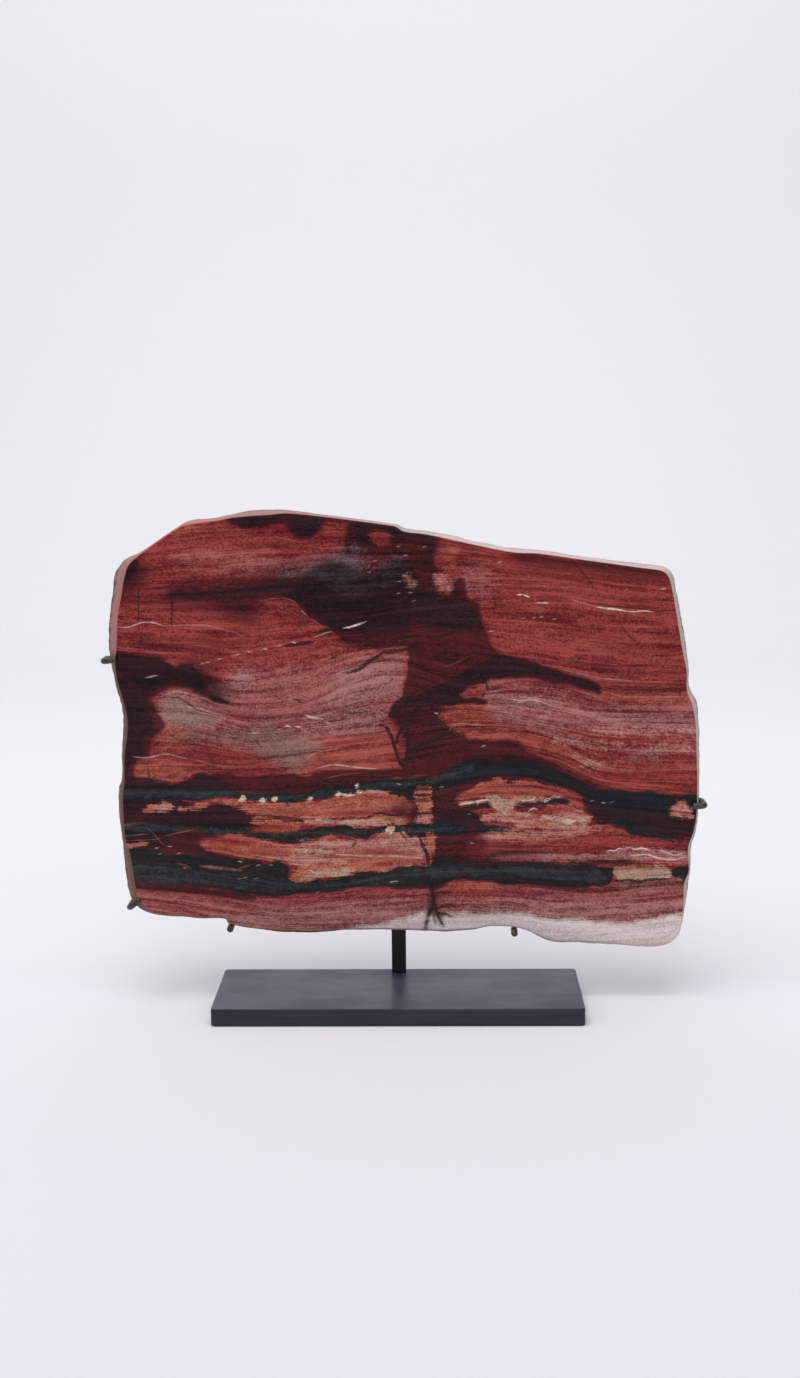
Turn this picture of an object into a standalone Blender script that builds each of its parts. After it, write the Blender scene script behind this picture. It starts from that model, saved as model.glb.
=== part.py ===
"""Slab of banded red jasper standing upright in a metal stand with bent wire prongs.

X runs to the right, Y away from the viewer and Z up. The origin is the centre of the
underside of the stand's plate. Lengths are in metres; outlines are listed in millimetres.
"""
import math

import bmesh
import bpy
from mathutils import Vector, noise

MM = 0.001
GAP = 0.3 * MM

# Plate
PLATE_WIDTH = 250 * MM
PLATE_DEPTH = 90 * MM
PLATE_THICKNESS = 12 * MM
PLATE_CORNER = 3 * MM
PLATE_EDGE = 0.9 * MM

# Square post, flush with the back edge of the plate
POST_SIDE = 10 * MM
POST_X = -0.6 * MM
POST_TOP = 220 * MM
POST_EDGE = 0.6 * MM
POST_FRONT = PLATE_DEPTH / 2 - POST_SIDE

# Wire prongs
ROD_RADIUS = 1.6 * MM
ROD_BACK = POST_FRONT - GAP - ROD_RADIUS
HOOK_BEND = 5 * MM
FOOT_BEND = 3.5 * MM
FOOT_TIP_Y = 12.3 * MM

# Slab
SLAB_BACK = ROD_BACK - ROD_RADIUS - GAP
SLAB_THICKNESS = 15.7 * MM
SLAB_FRONT = SLAB_BACK - SLAB_THICKNESS
ROD_FRONT = SLAB_FRONT - GAP - ROD_RADIUS
OUTLINE_STEP = 5 * MM

# Edge of the polished face, clockwise from the lower left corner as seen from the front:
# x, z, and how far the rough rim behind it stands out, in mm
FACE_EDGE = [
    (-179.5, 67.5, 5.2), (-182, 74, 6.4), (-183.6, 86, 7), (-186, 104, 5.8), (-188.8, 114, 3.8),
    (-189.7, 130, 4.2), (-189.5, 146, 4.4), (-188.2, 155, 3.2), (-187.6, 172, 3.4),
    (-184.8, 195, 4.5), (-187, 210, 3.6), (-190.2, 222, 3.6), (-192, 235, 4.2),
    (-190.8, 250, 6.8), (-189.4, 269, 6.8), (-186, 286, 7.6), (-184, 296, 7.8),
    (-181, 304, 4.6), (-175, 309.6, 1.6), (-156, 322.8, 0.8), (-144, 330, 1.4), (-137, 331.6, 2.1),
    (-121, 333.6, 1.2), (-110, 335.6, 1.8), (-97, 336.8, 3.2), (-84, 337.5, 2.8),
    (-73, 338.4, 1.1), (-50, 336.1, 0.6), (-5, 330, 0.5), (0.5, 328.8, 0.8), (5.5, 325.7, 1.3),
    (20, 323.7, 1.2), (38, 319.9, 1.8), (56, 315.7, 1.5), (80, 311, 1.7), (95, 310.3, 1.4),
    (124, 306.1, 1.2), (166, 300, 1.8), (179.5, 297.8, 2.4), (184, 293.5, 3.4),
    (186.6, 284, 3.3), (189.5, 269, 3.4), (193.5, 246, 3.5), (197, 229, 2.4), (197.3, 217, 2.4),
    (201.5, 205, 3.8), (203.5, 194, 3), (204.8, 168, 2.6), (205.4, 150, 2.4), (205, 128, 2.3),
    (203, 117, 3), (199.8, 107, 3.2), (200.4, 90, 2.3), (197.6, 82, 4), (197.2, 70, 2.8),
    (196.3, 57, 2), (194, 47, 2.2), (189.5, 40.8, 2.5), (181, 37.5, 3), (168, 37.4, 3.2),
    (148, 39.4, 3.4), (122, 40.8, 3.4), (108, 41.2, 3.4), (99, 43.9, 2.6), (89, 48.4, 1.2),
    (78, 51, 0.8), (64, 51.5, 1.6), (50, 49.8, 3), (30, 48.7, 3.4), (0, 49.8, 3.2),
    (-38, 49.6, 3), (-54, 48.4, 3.2), (-80, 48.8, 3.4), (-104, 50.7, 1.6), (-114, 52.6, 0.3),
    (-118.8, 54, 0.2), (-120.5, 57.2, 1.6), (-136, 58.4, 3.2), (-164, 61.3, 4), (-174, 63.8, 4.6),
]

# Sections of the rim: depth behind the polished face and offset at zero rim, in mm, and the
# share of the rim's overhang reached there
RIM_SECTIONS = [
    (0.0, -0.5, 0.0),
    (0.5, 0.0, 0.0),
    (4.2, 0.2, 0.5),
    (10.2, 0.0, 1.0),
    (14.5, -0.1, 0.9),
    (15.7, -1.1, 0.9),
]
RIM_ROUGHNESS = 0.45 * MM
RIM_ROUGH_SCALE = 90.0
RIM_STEEPEST = 0.3

# Bare corners of each prong's route, in mm: x, z on the back of the slab, then where it
# comes forward, then its tip on the front
ARM_LEFT_START = (4, 206)
ARM_LEFT_EDGE = (-200.8, 238.4)
ARM_LEFT_TIP = (-190.4, 240.4)
ARM_RIGHT_START = (-5, 166)
ARM_RIGHT_EDGE = (210.9, 136.4)
ARM_RIGHT_TIP = (201.8, 136.7)
ARM_CORNER_START = (4, 128)
ARM_CORNER_ELBOW = (-165, 84)
ARM_CORNER_EDGE = (-187.9, 64.9)
ARM_CORNER_TIP = (-179.4, 72)
ARM_BOTTOM_LEFT_START = (4, 98)
ARM_BOTTOM_LEFT_ELBOW = (-117.2, 69)
ARM_BOTTOM_LEFT_FOOT = (-117.2, 51.2)
ARM_BOTTOM_RIGHT_START = (-5, 86)
ARM_BOTTOM_RIGHT_ELBOW = (80.2, 67)
ARM_BOTTOM_RIGHT_FOOT = (80.2, 47.6)


def new_collection(name):
    """Empty collection of that name in the scene."""
    collection = bpy.data.collections.new(name)
    bpy.context.scene.collection.children.link(collection)
    return collection


def make_material(name, color, roughness, metallic):
    """Principled material with one colour."""
    material = bpy.data.materials.new(name)
    material.use_nodes = True
    shader = material.node_tree.nodes["Principled BSDF"]
    shader.inputs["Base Color"].default_value = (*color, 1.0)
    shader.inputs["Roughness"].default_value = roughness
    shader.inputs["Metallic"].default_value = metallic
    return material


def add_object(name, data, material, collection):
    """Object around a mesh or a curve, with its own material."""
    data.materials.append(material)
    obj = bpy.data.objects.new(name, data)
    collection.objects.link(obj)
    return obj


def closed_spline(points, step):
    """Smooth closed curve through points, sampled about every step in x and z.

    Tangents follow the neighbouring points, weighted by distance, so that short and long
    stretches meet without overshoot.
    """
    count = len(points)
    samples = []
    for i in range(count):
        before, start = points[i - 1], points[i]
        end, after = points[(i + 1) % count], points[(i + 2) % count]
        length = (end - start).length
        tangent_start = (end - before) * (length / ((start - before).length + length))
        tangent_end = (after - start) * (length / ((after - end).length + length))
        steps = max(1, round(length / step))
        for k in range(steps):
            t = k / steps
            samples.append(
                start * (2 * t**3 - 3 * t**2 + 1)
                + tangent_start * (t**3 - 2 * t**2 + t)
                + end * (3 * t**2 - 2 * t**3)
                + tangent_end * (t**3 - t**2)
            )
    return samples


def outward(ring, i):
    """Unit normal of a clockwise ring in the XZ plane, pointing out of it."""
    along = ring[(i + 1) % len(ring)] - ring[i - 1]
    return Vector((-along.y, 0.0, along.x)).normalized()


def rim_ring(face_ring, section):
    """Points of one section of the rim, roughened where the stone is unpolished."""
    depth, base_offset, share = section
    ring = []
    for i, point in enumerate(face_ring):
        overhang = point.z * share
        spot = Vector((point.x, SLAB_FRONT + depth * MM, point.y))
        roughness = RIM_ROUGHNESS * min(share, overhang / MM * RIM_STEEPEST)
        chip = noise.noise(spot * RIM_ROUGH_SCALE) * roughness
        ring.append(spot + outward(face_ring, i) * (base_offset * MM + overhang + chip))
    return ring


def make_slab(collection):
    """Loft from the polished face over the rough rim to the sawn back."""
    corners = [Vector((x * MM, z * MM, rim * MM)) for x, z, rim in FACE_EDGE]
    face_ring = closed_spline(corners, OUTLINE_STEP)
    bm = bmesh.new()
    rings = []
    for section in RIM_SECTIONS:
        rings.append([bm.verts.new(point) for point in rim_ring(face_ring, section)])
    for ring, deeper in zip(rings, rings[1:]):
        for i in range(len(ring)):
            bm.faces.new((ring[i - 1], ring[i], deeper[i], deeper[i - 1]))
    caps = [bm.faces.new(rings[0]), bm.faces.new(reversed(rings[-1]))]
    bmesh.ops.triangulate(bm, faces=caps)
    bmesh.ops.recalc_face_normals(bm, faces=bm.faces)
    mesh = bpy.data.meshes.new("jasper_slab")
    bm.to_mesh(mesh)
    bm.free()
    mesh.shade_smooth()
    mesh.set_sharp_from_angle(angle=math.radians(35))
    material = make_material("red_jasper", (0.28, 0.055, 0.05), 0.2, 0.0)
    return add_object("jasper_slab", mesh, material, collection)


def make_block(name, size, centre, edge, material, collection, corner=0.0):
    """Rectangular bar with softened edges and, if asked, rounder upright corners."""
    bm = bmesh.new()
    bmesh.ops.create_cube(bm, size=1.0)
    bmesh.ops.scale(bm, vec=size, verts=bm.verts)
    if corner:
        upright = [e for e in bm.edges if abs(e.verts[0].co.z - e.verts[1].co.z) > size[2] / 2]
        bmesh.ops.bevel(bm, geom=upright, offset=corner, segments=4, profile=0.5,
                        affect='EDGES')
    mesh = bpy.data.meshes.new(name)
    bm.to_mesh(mesh)
    bm.free()
    block = add_object(name, mesh, material, collection)
    block.location = centre
    soft = block.modifiers.new("soft_edges", 'BEVEL')
    soft.width = edge
    soft.segments = 2
    soft.limit_method = 'ANGLE'
    soft.angle_limit = math.radians(40)
    return block


def rounded_path(corners, bend):
    """Route through the corners with a circular bend of that radius at each inner one."""
    path = [corners[0]]
    for before, corner, after in zip(corners, corners[1:], corners[2:]):
        back = (before - corner).normalized()
        ahead = (after - corner).normalized()
        half_angle = back.angle(ahead) / 2
        reach = bend / math.tan(half_angle)
        middle = corner + (back + ahead).normalized() * (bend / math.sin(half_angle))
        first = corner + back * reach - middle
        last = corner + ahead * reach - middle
        steps = max(2, round(math.degrees(first.angle(last)) / 18))
        for k in range(steps + 1):
            path.append(middle + first.slerp(last, k / steps) * bend)
    path.append(corners[-1])
    return path


def make_rod(name, path, material, collection):
    """Round wire along a path, closed at both ends."""
    curve = bpy.data.curves.new(name, 'CURVE')
    curve.dimensions = '3D'
    curve.bevel_depth = ROD_RADIUS
    curve.bevel_resolution = 3
    curve.use_fill_caps = True
    spline = curve.splines.new('POLY')
    spline.points.add(len(path) - 1)
    for point, place in zip(spline.points, path):
        point.co = (*place, 1.0)
    return add_object(name, curve, material, collection)


def at(spot, y):
    """Point at a listed x and z and a depth y."""
    return Vector((spot[0] * MM, y, spot[1] * MM))


def make_hook(name, start, elbows, edge, tip, material, collection):
    """Prong that runs behind the slab, round its edge and a little way over its face."""
    corners = [at(spot, ROD_BACK) for spot in (start, *elbows, edge)]
    corners += [at(edge, ROD_FRONT), at(tip, ROD_FRONT)]
    return make_rod(name, rounded_path(corners, HOOK_BEND), material, collection)


def make_foot(name, start, elbow, foot, material, collection):
    """Prong that drops behind the slab and comes forward beneath its lower edge."""
    corners = [at(spot, ROD_BACK) for spot in (start, elbow, foot)]
    corners.append(at(foot, FOOT_TIP_Y))
    return make_rod(name, rounded_path(corners, FOOT_BEND), material, collection)


def build():
    """The whole piece: slab, plate, post and five prongs."""
    for obj in list(bpy.data.objects):
        bpy.data.objects.remove(obj, do_unlink=True)
    collection = new_collection("red_jasper_on_stand")

    make_slab(collection)

    plate_paint = make_material("plate_paint", (0.10, 0.105, 0.135), 0.45, 0.0)
    make_block(
        "base_plate", (PLATE_WIDTH, PLATE_DEPTH, PLATE_THICKNESS),
        (0.0, 0.0, PLATE_THICKNESS / 2), PLATE_EDGE, plate_paint, collection, PLATE_CORNER,
    )

    post_paint = make_material("post_paint", (0.012, 0.014, 0.016), 0.4, 0.0)
    post_foot = PLATE_THICKNESS + GAP
    make_block(
        "post", (POST_SIDE, POST_SIDE, POST_TOP - post_foot),
        (POST_X, POST_FRONT + POST_SIDE / 2, (POST_TOP + post_foot) / 2),
        POST_EDGE, post_paint, collection,
    )

    bronze = {name: make_material(name + "_bronze", (0.09, 0.085, 0.07), 0.4, 0.8)
              for name in ("arm_left", "arm_right", "arm_corner",
                           "arm_bottom_left", "arm_bottom_right")}
    make_hook("arm_left", ARM_LEFT_START, (), ARM_LEFT_EDGE, ARM_LEFT_TIP,
              bronze["arm_left"], collection)
    make_hook("arm_right", ARM_RIGHT_START, (), ARM_RIGHT_EDGE, ARM_RIGHT_TIP,
              bronze["arm_right"], collection)
    make_hook("arm_corner", ARM_CORNER_START, (ARM_CORNER_ELBOW,), ARM_CORNER_EDGE,
              ARM_CORNER_TIP, bronze["arm_corner"], collection)
    make_foot("arm_bottom_left", ARM_BOTTOM_LEFT_START, ARM_BOTTOM_LEFT_ELBOW,
              ARM_BOTTOM_LEFT_FOOT, bronze["arm_bottom_left"], collection)
    make_foot("arm_bottom_right", ARM_BOTTOM_RIGHT_START, ARM_BOTTOM_RIGHT_ELBOW,
              ARM_BOTTOM_RIGHT_FOOT, bronze["arm_bottom_right"], collection)


build()
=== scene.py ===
# %% [markdown]
# A polished slab of banded red jasper stands upright in a metal stand. The stone is the piece
# that everyone looks at, so most of this lesson builds its face: first the shape, then the
# colours, laid one over the other as flat shapes with torn edges, and last the fine veins.
# The stand is simple and dark: a painted plate, a square post and five bent bronze prongs.

# %% Load the fixed frame
import math
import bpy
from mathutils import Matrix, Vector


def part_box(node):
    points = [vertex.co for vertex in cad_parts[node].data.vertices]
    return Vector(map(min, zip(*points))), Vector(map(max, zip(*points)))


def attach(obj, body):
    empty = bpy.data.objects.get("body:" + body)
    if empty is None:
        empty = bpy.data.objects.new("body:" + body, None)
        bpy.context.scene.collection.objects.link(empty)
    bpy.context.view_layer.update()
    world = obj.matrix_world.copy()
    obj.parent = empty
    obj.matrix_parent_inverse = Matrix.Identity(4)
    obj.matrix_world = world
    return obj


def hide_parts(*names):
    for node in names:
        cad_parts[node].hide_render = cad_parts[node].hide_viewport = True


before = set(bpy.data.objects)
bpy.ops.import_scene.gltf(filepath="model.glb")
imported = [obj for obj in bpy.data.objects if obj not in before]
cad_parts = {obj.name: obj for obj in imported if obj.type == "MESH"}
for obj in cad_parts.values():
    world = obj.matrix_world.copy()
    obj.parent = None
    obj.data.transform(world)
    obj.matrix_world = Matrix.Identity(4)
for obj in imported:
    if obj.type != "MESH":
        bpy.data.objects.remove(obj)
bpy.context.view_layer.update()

from types import SimpleNamespace

import bmesh
import bpy
import numpy as np
from mathutils import Matrix, Vector, noise

MM = 0.001
print("frame nodes:", sorted(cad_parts))

# %% [markdown]
# The camera comes first, because every later choice is judged through it. The picture is a
# tall one, taken from a little above the slab's top edge with a normal lens, so the plate's
# upper face shows as a thin dark strip. Three small turns are enough to aim it: down, to the
# left, and a slight lean.

# %% Camera
CAMERA_PLACE = Vector((27.6, -1217.4, 404.5)) * MM
CAMERA_DOWN = math.radians(8.587)
CAMERA_LEFT = math.radians(1.181)
CAMERA_LEAN = math.radians(-0.480)
CAMERA_LENS, SENSOR_HEIGHT = 47.85, 36.0
FARTHEST = 50.0

camera_data = bpy.data.cameras.new("camera")
camera_data.sensor_fit = 'VERTICAL'
camera_data.sensor_height = SENSOR_HEIGHT
camera_data.lens = CAMERA_LENS
camera_data.clip_end = FARTHEST
camera = bpy.data.objects.new("camera", camera_data)
bpy.context.scene.collection.objects.link(camera)
aim = Matrix.Rotation(CAMERA_LEFT, 4, 'Z') @ Matrix.Rotation(math.pi / 2 - CAMERA_DOWN, 4, 'X')
camera.matrix_world = Matrix.Translation(CAMERA_PLACE) @ aim @ Matrix.Rotation(CAMERA_LEAN, 4, 'Z')
bpy.context.scene.camera = camera
print("camera", [round(value, 3) for value in CAMERA_PLACE])

# %% [markdown]
# Materials are built from nodes, and a node tree reads best when each step is one short line.
# These helpers add a node, link what is a socket and set what is a plain value. Colours are
# written as the eye names them on a screen and turned into the linear values that light needs.

# %% Colours and nodes
def linear(colour):
    """Screen colour such as '7d3131' as linear red, green, blue and alpha."""
    channels = [int(colour[i:i + 2], 16) / 255 for i in (0, 2, 4)]
    return [c / 12.92 if c <= 0.04045 else ((c + 0.055) / 1.055) ** 2.4 for c in channels] + [1.0]


def add(tree, kind, inputs=None, **settings):
    """New node with its settings made and its inputs linked or set."""
    made = tree.nodes.new(kind)
    for name, value in settings.items():
        setattr(made, name, value)
    for name, value in (inputs or {}).items():
        if isinstance(value, bpy.types.NodeSocket):
            tree.links.new(value, made.inputs[name])
        else:
            made.inputs[name].default_value = value
    return made


def calc(tree, operation, first, second=0.0, third=0.0):
    """Result of one sum on numbers."""
    return add(tree, 'ShaderNodeMath', {0: first, 1: second, 2: third}, operation=operation).outputs[0]


def new_material(name):
    """Material with a shader and nothing else set."""
    material = bpy.data.materials.new(name)
    material.use_nodes = True
    tree = material.node_tree
    return material, tree, tree.nodes["Principled BSDF"]


print("brick red as light:", [round(value, 3) for value in linear("7d3131")])

# %% [markdown]
# Nothing on a stone or a worn paint is even, and nothing changes in a straight ramp. Noise
# gives the unevenness, and stretching it gives streaks. A smooth step picks out the part of
# the noise that counts, and a blend lays one colour over another by that share. Two more
# helpers say where a point lies in millimetres, and how far its surface faces up.

# %% Noise, fades and blends
def stretched_noise(tree, place, sizes, detail=3.0, rough=0.55):
    """Noise from 0 to 1 whose grains have these sizes along the three directions."""
    scale = add(tree, 'ShaderNodeVectorMath', {0: place, 1: [1 / size for size in sizes]},
                operation='MULTIPLY').outputs[0]
    settings = {"Vector": scale, "Scale": 1.0, "Detail": detail, "Roughness": rough}
    return add(tree, 'ShaderNodeTexNoise', settings).outputs["Fac"]


def fade(tree, value, low, high, start=0.0, end=1.0):
    """Smooth step from start to end while the value goes from low to high."""
    settings = {"Value": value, "From Min": low, "From Max": high, "To Min": start, "To Max": end}
    return add(tree, 'ShaderNodeMapRange', settings, interpolation_type='SMOOTHSTEP').outputs["Result"]


def blend(tree, share, first, second):
    """Second colour over the first by that share."""
    made = add(tree, 'ShaderNodeMix', data_type='RGBA')
    for socket, value in zip((made.inputs[0], made.inputs[6], made.inputs[7]), (share, first, second)):
        if isinstance(value, bpy.types.NodeSocket):
            tree.links.new(value, socket)
        else:
            socket.default_value = value
    return made.outputs[2]


def millimetres(tree):
    """Place on the object in millimetres."""
    spot = add(tree, 'ShaderNodeTexCoord').outputs["Object"]
    return add(tree, 'ShaderNodeVectorMath', {0: spot, 1: (1 / MM,) * 3}, operation='MULTIPLY').outputs[0]


def facing_up(tree):
    """How far the surface faces up: 1 on top, 0 on a side, -1 underneath."""
    normal = add(tree, 'ShaderNodeNewGeometry').outputs["Normal"]
    return add(tree, 'ShaderNodeSeparateXYZ', {0: normal}).outputs[2]


print("helpers for nodes are ready")

# %% [markdown]
# A set of pale paper sweeps behind the object with no corner, so the background fades evenly.
# A plane with a wall would leave a hard line there. A short profile, drawn once from the side
# with a quarter circle in it and pulled out to its full width, gives the sweep with few faces.

# %% Sweep of pale paper
SWEEP_WIDTH = 8.0
SWEEP_FRONT, SWEEP_BACK = -3.0, 1.6
SWEEP_BEND, BEND_STEPS = 0.9, 12
SWEEP_TOP = 4.0

profile = [(SWEEP_FRONT, 0.0)]
for step in range(BEND_STEPS + 1):
    angle = math.radians(90 * step / BEND_STEPS)
    profile.append((SWEEP_BACK + SWEEP_BEND * math.sin(angle), SWEEP_BEND * (1 - math.cos(angle))))
profile.append((SWEEP_BACK + SWEEP_BEND, SWEEP_TOP))
sweep_points = [(side * SWEEP_WIDTH / 2, y, z) for y, z in profile for side in (-1, 1)]
sweep_faces = [(2 * k, 2 * k + 1, 2 * k + 3, 2 * k + 2) for k in range(len(profile) - 1)]
sweep_mesh = bpy.data.meshes.new("sweep")
sweep_mesh.from_pydata(sweep_points, [], sweep_faces)
sweep_mesh.shade_smooth()
sweep = bpy.data.objects.new("sweep", sweep_mesh)
bpy.context.scene.collection.objects.link(sweep)


def build_paper():
    """Dull pale paper with painted shade: darker near the viewer than at the back."""
    material, tree, shader = new_material("pale_paper")
    place = add(tree, 'ShaderNodeTexCoord').outputs["Object"]
    cloud = stretched_noise(tree, place, (0.9, 0.9, 0.9), 2.0)
    distance = add(tree, 'ShaderNodeSeparateXYZ', {0: place}).outputs[1]
    distance = calc(tree, 'MULTIPLY_ADD', cloud, 0.3, distance)
    # Painted shade: the paper's colour is darkened towards the viewer along its depth.
    colour = blend(tree, fade(tree, distance, -0.6, 1.2), linear("dedfe6"), linear("ececf0"))
    tree.links.new(colour, shader.inputs["Base Color"])
    shader.inputs["Roughness"].default_value = 0.9
    shader.inputs["Specular IOR Level"].default_value = 0.1
    return material


sweep_mesh.materials.append(build_paper())
print("sweep:", len(sweep_faces), "faces")

# %% [markdown]
# The light is a broad soft sky with three large panels. The one above gives the slab an even
# face and leaves only a faint pool of shade on the floor, the one in front fills the face, and
# the last one lights the paper behind. A small lamp would draw a sharp shadow on the paper and
# a hard glint on the polish instead.

# %% Sky and panels
SKY_COLOUR, SKY_STRENGTH = (0.95, 0.955, 1.0, 1.0), 0.42
# Name, place, target, size, power and colour of each panel.
PANELS = [
    ("panel_above", (-0.5, -0.9, 2.6), (0, 0, 0.2), 2.2, 34, (1.0, 0.985, 0.97)),
    ("panel_front", (0.4, -2.9, 1.5), (0, 0, 0.2), 2.4, 9, (0.97, 0.98, 1.0)),
    ("panel_backdrop", (0.0, 0.2, 3.2), (0, 2.4, 1.2), 2.4, 46, (1.0, 1.0, 1.0)),
]


def soft_panel(name, place, target, size, power, colour):
    """Square panel of light that faces its target."""
    light = bpy.data.lights.new(name, 'AREA')
    light.shape = 'SQUARE'
    light.size = size
    light.energy = power
    light.color = colour
    panel = bpy.data.objects.new(name, light)
    panel.location = place
    panel.rotation_euler = (Vector(target) - Vector(place)).to_track_quat('-Z', 'Y').to_euler()
    bpy.context.scene.collection.objects.link(panel)


world = bpy.data.worlds.new("soft_sky")
world.use_nodes = True
world.node_tree.nodes["Background"].inputs["Color"].default_value = SKY_COLOUR
world.node_tree.nodes["Background"].inputs["Strength"].default_value = SKY_STRENGTH
bpy.context.scene.world = world
for panel in PANELS:
    soft_panel(*panel)
bpy.context.scene.view_settings.view_transform = 'Standard'
print("panels:", len(PANELS))

# %% [markdown]
# The slab was cut from a boulder with a wet saw. Its front was ground and polished flat, its
# back was left as sawn, and the rim still has the boulder's own rough skin. One closed mesh
# holds all three. The polished edge is a list of points with a smooth curve through them, and
# each point also says how far the skin behind it stands out.

# %% The slab's edge
# Each point: x and z on the face, then the overhang of the skin behind it, in mm.
FACE_EDGE = [
    (-179.5, 67.5, 5.2), (-182, 74, 6.4), (-183.6, 86, 7), (-186, 104, 5.8), (-188.8, 114, 3.8),
    (-189.7, 130, 4.2), (-189.5, 146, 4.4), (-188.2, 155, 3.2), (-187.6, 172, 3.4), (-184.8, 195, 4.5),
    (-187, 210, 3.6), (-190.2, 222, 3.6), (-192, 235, 4.2), (-190.8, 250, 6.8), (-189.4, 269, 6.8),
    (-186, 286, 7.6), (-184, 296, 7.8), (-181, 304, 4.6), (-175, 309.6, 1.6), (-156, 322.8, 0.8),
    (-144, 330, 1.4), (-137, 331.6, 2.1), (-121, 333.6, 1.2), (-110, 335.6, 1.8), (-97, 336.8, 3.2),
    (-84, 337.5, 2.8), (-73, 338.4, 1.1), (-50, 336.1, 0.6), (-5, 330, 0.5), (0.5, 328.8, 0.8),
    (5.5, 325.7, 1.3), (20, 323.7, 1.2), (38, 319.9, 1.8), (56, 315.7, 1.5), (80, 311, 1.7),
    (95, 310.3, 1.4), (124, 306.1, 1.2), (166, 300, 1.8), (179.5, 297.8, 2.4), (184, 293.5, 3.4),
    (186.6, 284, 3.3), (189.5, 269, 3.4), (193.5, 246, 3.5), (197, 229, 2.4), (197.3, 217, 2.4),
    (201.5, 205, 3.8), (203.5, 194, 3), (204.8, 168, 2.6), (205.4, 150, 2.4), (205, 128, 2.3),
    (203, 117, 3), (199.8, 107, 3.2), (200.4, 90, 2.3), (197.6, 82, 4), (197.2, 70, 2.8), (196.3, 57, 2),
    (194, 47, 2.2), (189.5, 40.8, 2.5), (181, 37.5, 3), (168, 37.4, 3.2), (148, 39.4, 3.4),
    (122, 40.8, 3.4), (108, 41.2, 3.4), (99, 43.9, 2.6), (89, 48.4, 1.2), (78, 51, 0.8), (64, 51.5, 1.6),
    (50, 49.8, 3), (30, 48.7, 3.4), (0, 49.8, 3.2), (-38, 49.6, 3), (-54, 48.4, 3.2), (-80, 48.8, 3.4),
    (-104, 50.7, 1.6), (-114, 52.6, 0.3), (-118.8, 54, 0.2), (-120.5, 57.2, 1.6), (-136, 58.4, 3.2),
    (-164, 61.3, 4), (-174, 63.8, 4.6),
]
# The list starts at the lower left corner; the other three corners have these numbers in it.
UPPER_LEFT, UPPER_RIGHT, LOWER_RIGHT = 17, 39, 56
EDGE_STEP = 0.6


def smooth(points, closed=True, step=1.5):
    """Smooth curve through the listed points, with a sample about every step mm."""
    points = np.array(points, float)
    count = len(points)
    pieces = []
    for i in range(count if closed else count - 1):
        start, end = points[i], points[(i + 1) % count]
        before = points[i - 1] if closed or i else start
        after = points[(i + 2) % count] if closed or i + 2 < count else end
        length = np.linalg.norm(end - start)
        leave = (end - before) * length / (np.linalg.norm(start - before) + length)
        arrive = (after - start) * length / (np.linalg.norm(after - end) + length)
        steps = max(1, round(length / step))
        t = np.arange(steps)[:, None] / steps
        pieces.append(start * (2 * t**3 - 3 * t**2 + 1) + leave * (t**3 - 2 * t**2 + t)
                      + end * (3 * t**2 - 2 * t**3) + arrive * (t**3 - t**2))
    if not closed:
        pieces.append(points[-1:])
    return np.vstack(pieces)


edge_curve = smooth(FACE_EDGE, step=EDGE_STEP)
print("edge curve:", len(edge_curve), "points")

# %% [markdown]
# A polished face needs an even grid, so that the edges of its markings come out sharp
# everywhere. The edge is split at the four corners into four sides, and the grid between them
# is blended from all four, so that its rows follow the crooked sides without folding.

# %% Grid between the four sides
FACE_COLUMNS, FACE_ROWS = 300, 220


def evenly(path, count):
    """The path again, with that many points at even spacing."""
    reached = np.concatenate(([0], np.cumsum(np.linalg.norm(np.diff(path[:, :2], axis=0), axis=1))))
    wanted = np.linspace(0, reached[-1], count)
    return np.column_stack([np.interp(wanted, reached, column) for column in path.T])


def split_sides(curve):
    """Left, top, right and bottom side of the curve, cut at the four listed corners."""
    corners = []
    for index in (UPPER_LEFT, UPPER_RIGHT, LOWER_RIGHT):
        gaps = np.linalg.norm(curve[:, :2] - np.array(FACE_EDGE[index][:2]), axis=1)
        corners.append(int(np.argmin(gaps)))
    closed = np.vstack([curve, curve[:1]])
    cuts = [0, *corners, len(closed) - 1]
    return [closed[a:b + 1] for a, b in zip(cuts, cuts[1:])]


def patch(left, top, right, bottom):
    """Grid of points between four sides: rows run up, columns run to the right."""
    u = np.linspace(0, 1, len(top))[None, :, None]
    v = np.linspace(0, 1, len(left))[:, None, None]
    across = (1 - u) * left[:, None] + u * right[:, None]
    upward = (1 - v) * bottom[None] + v * top[None]
    corners = ((1 - v) * ((1 - u) * bottom[0] + u * bottom[-1])
               + v * ((1 - u) * top[0] + u * top[-1]))
    return across + upward - corners


left, top, right, bottom = split_sides(edge_curve)
left = evenly(left, FACE_ROWS + 1)
top = evenly(top, FACE_COLUMNS + 1)
right = evenly(right[::-1], FACE_ROWS + 1)
bottom = evenly(bottom[::-1], FACE_COLUMNS + 1)
face_ring = np.vstack([left[:-1], top[:-1], right[::-1][:-1], bottom[::-1][:-1]])
print("ring of the face:", len(face_ring), "points")

# %% [markdown]
# Behind the polished edge the rim swells out to the boulder's skin and draws in again at the
# sawn back. The skin is rough at two scales: broad chips the size of a fingernail and a fine
# grit. A few thin ledges run along it, because some beds are harder than others.

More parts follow.
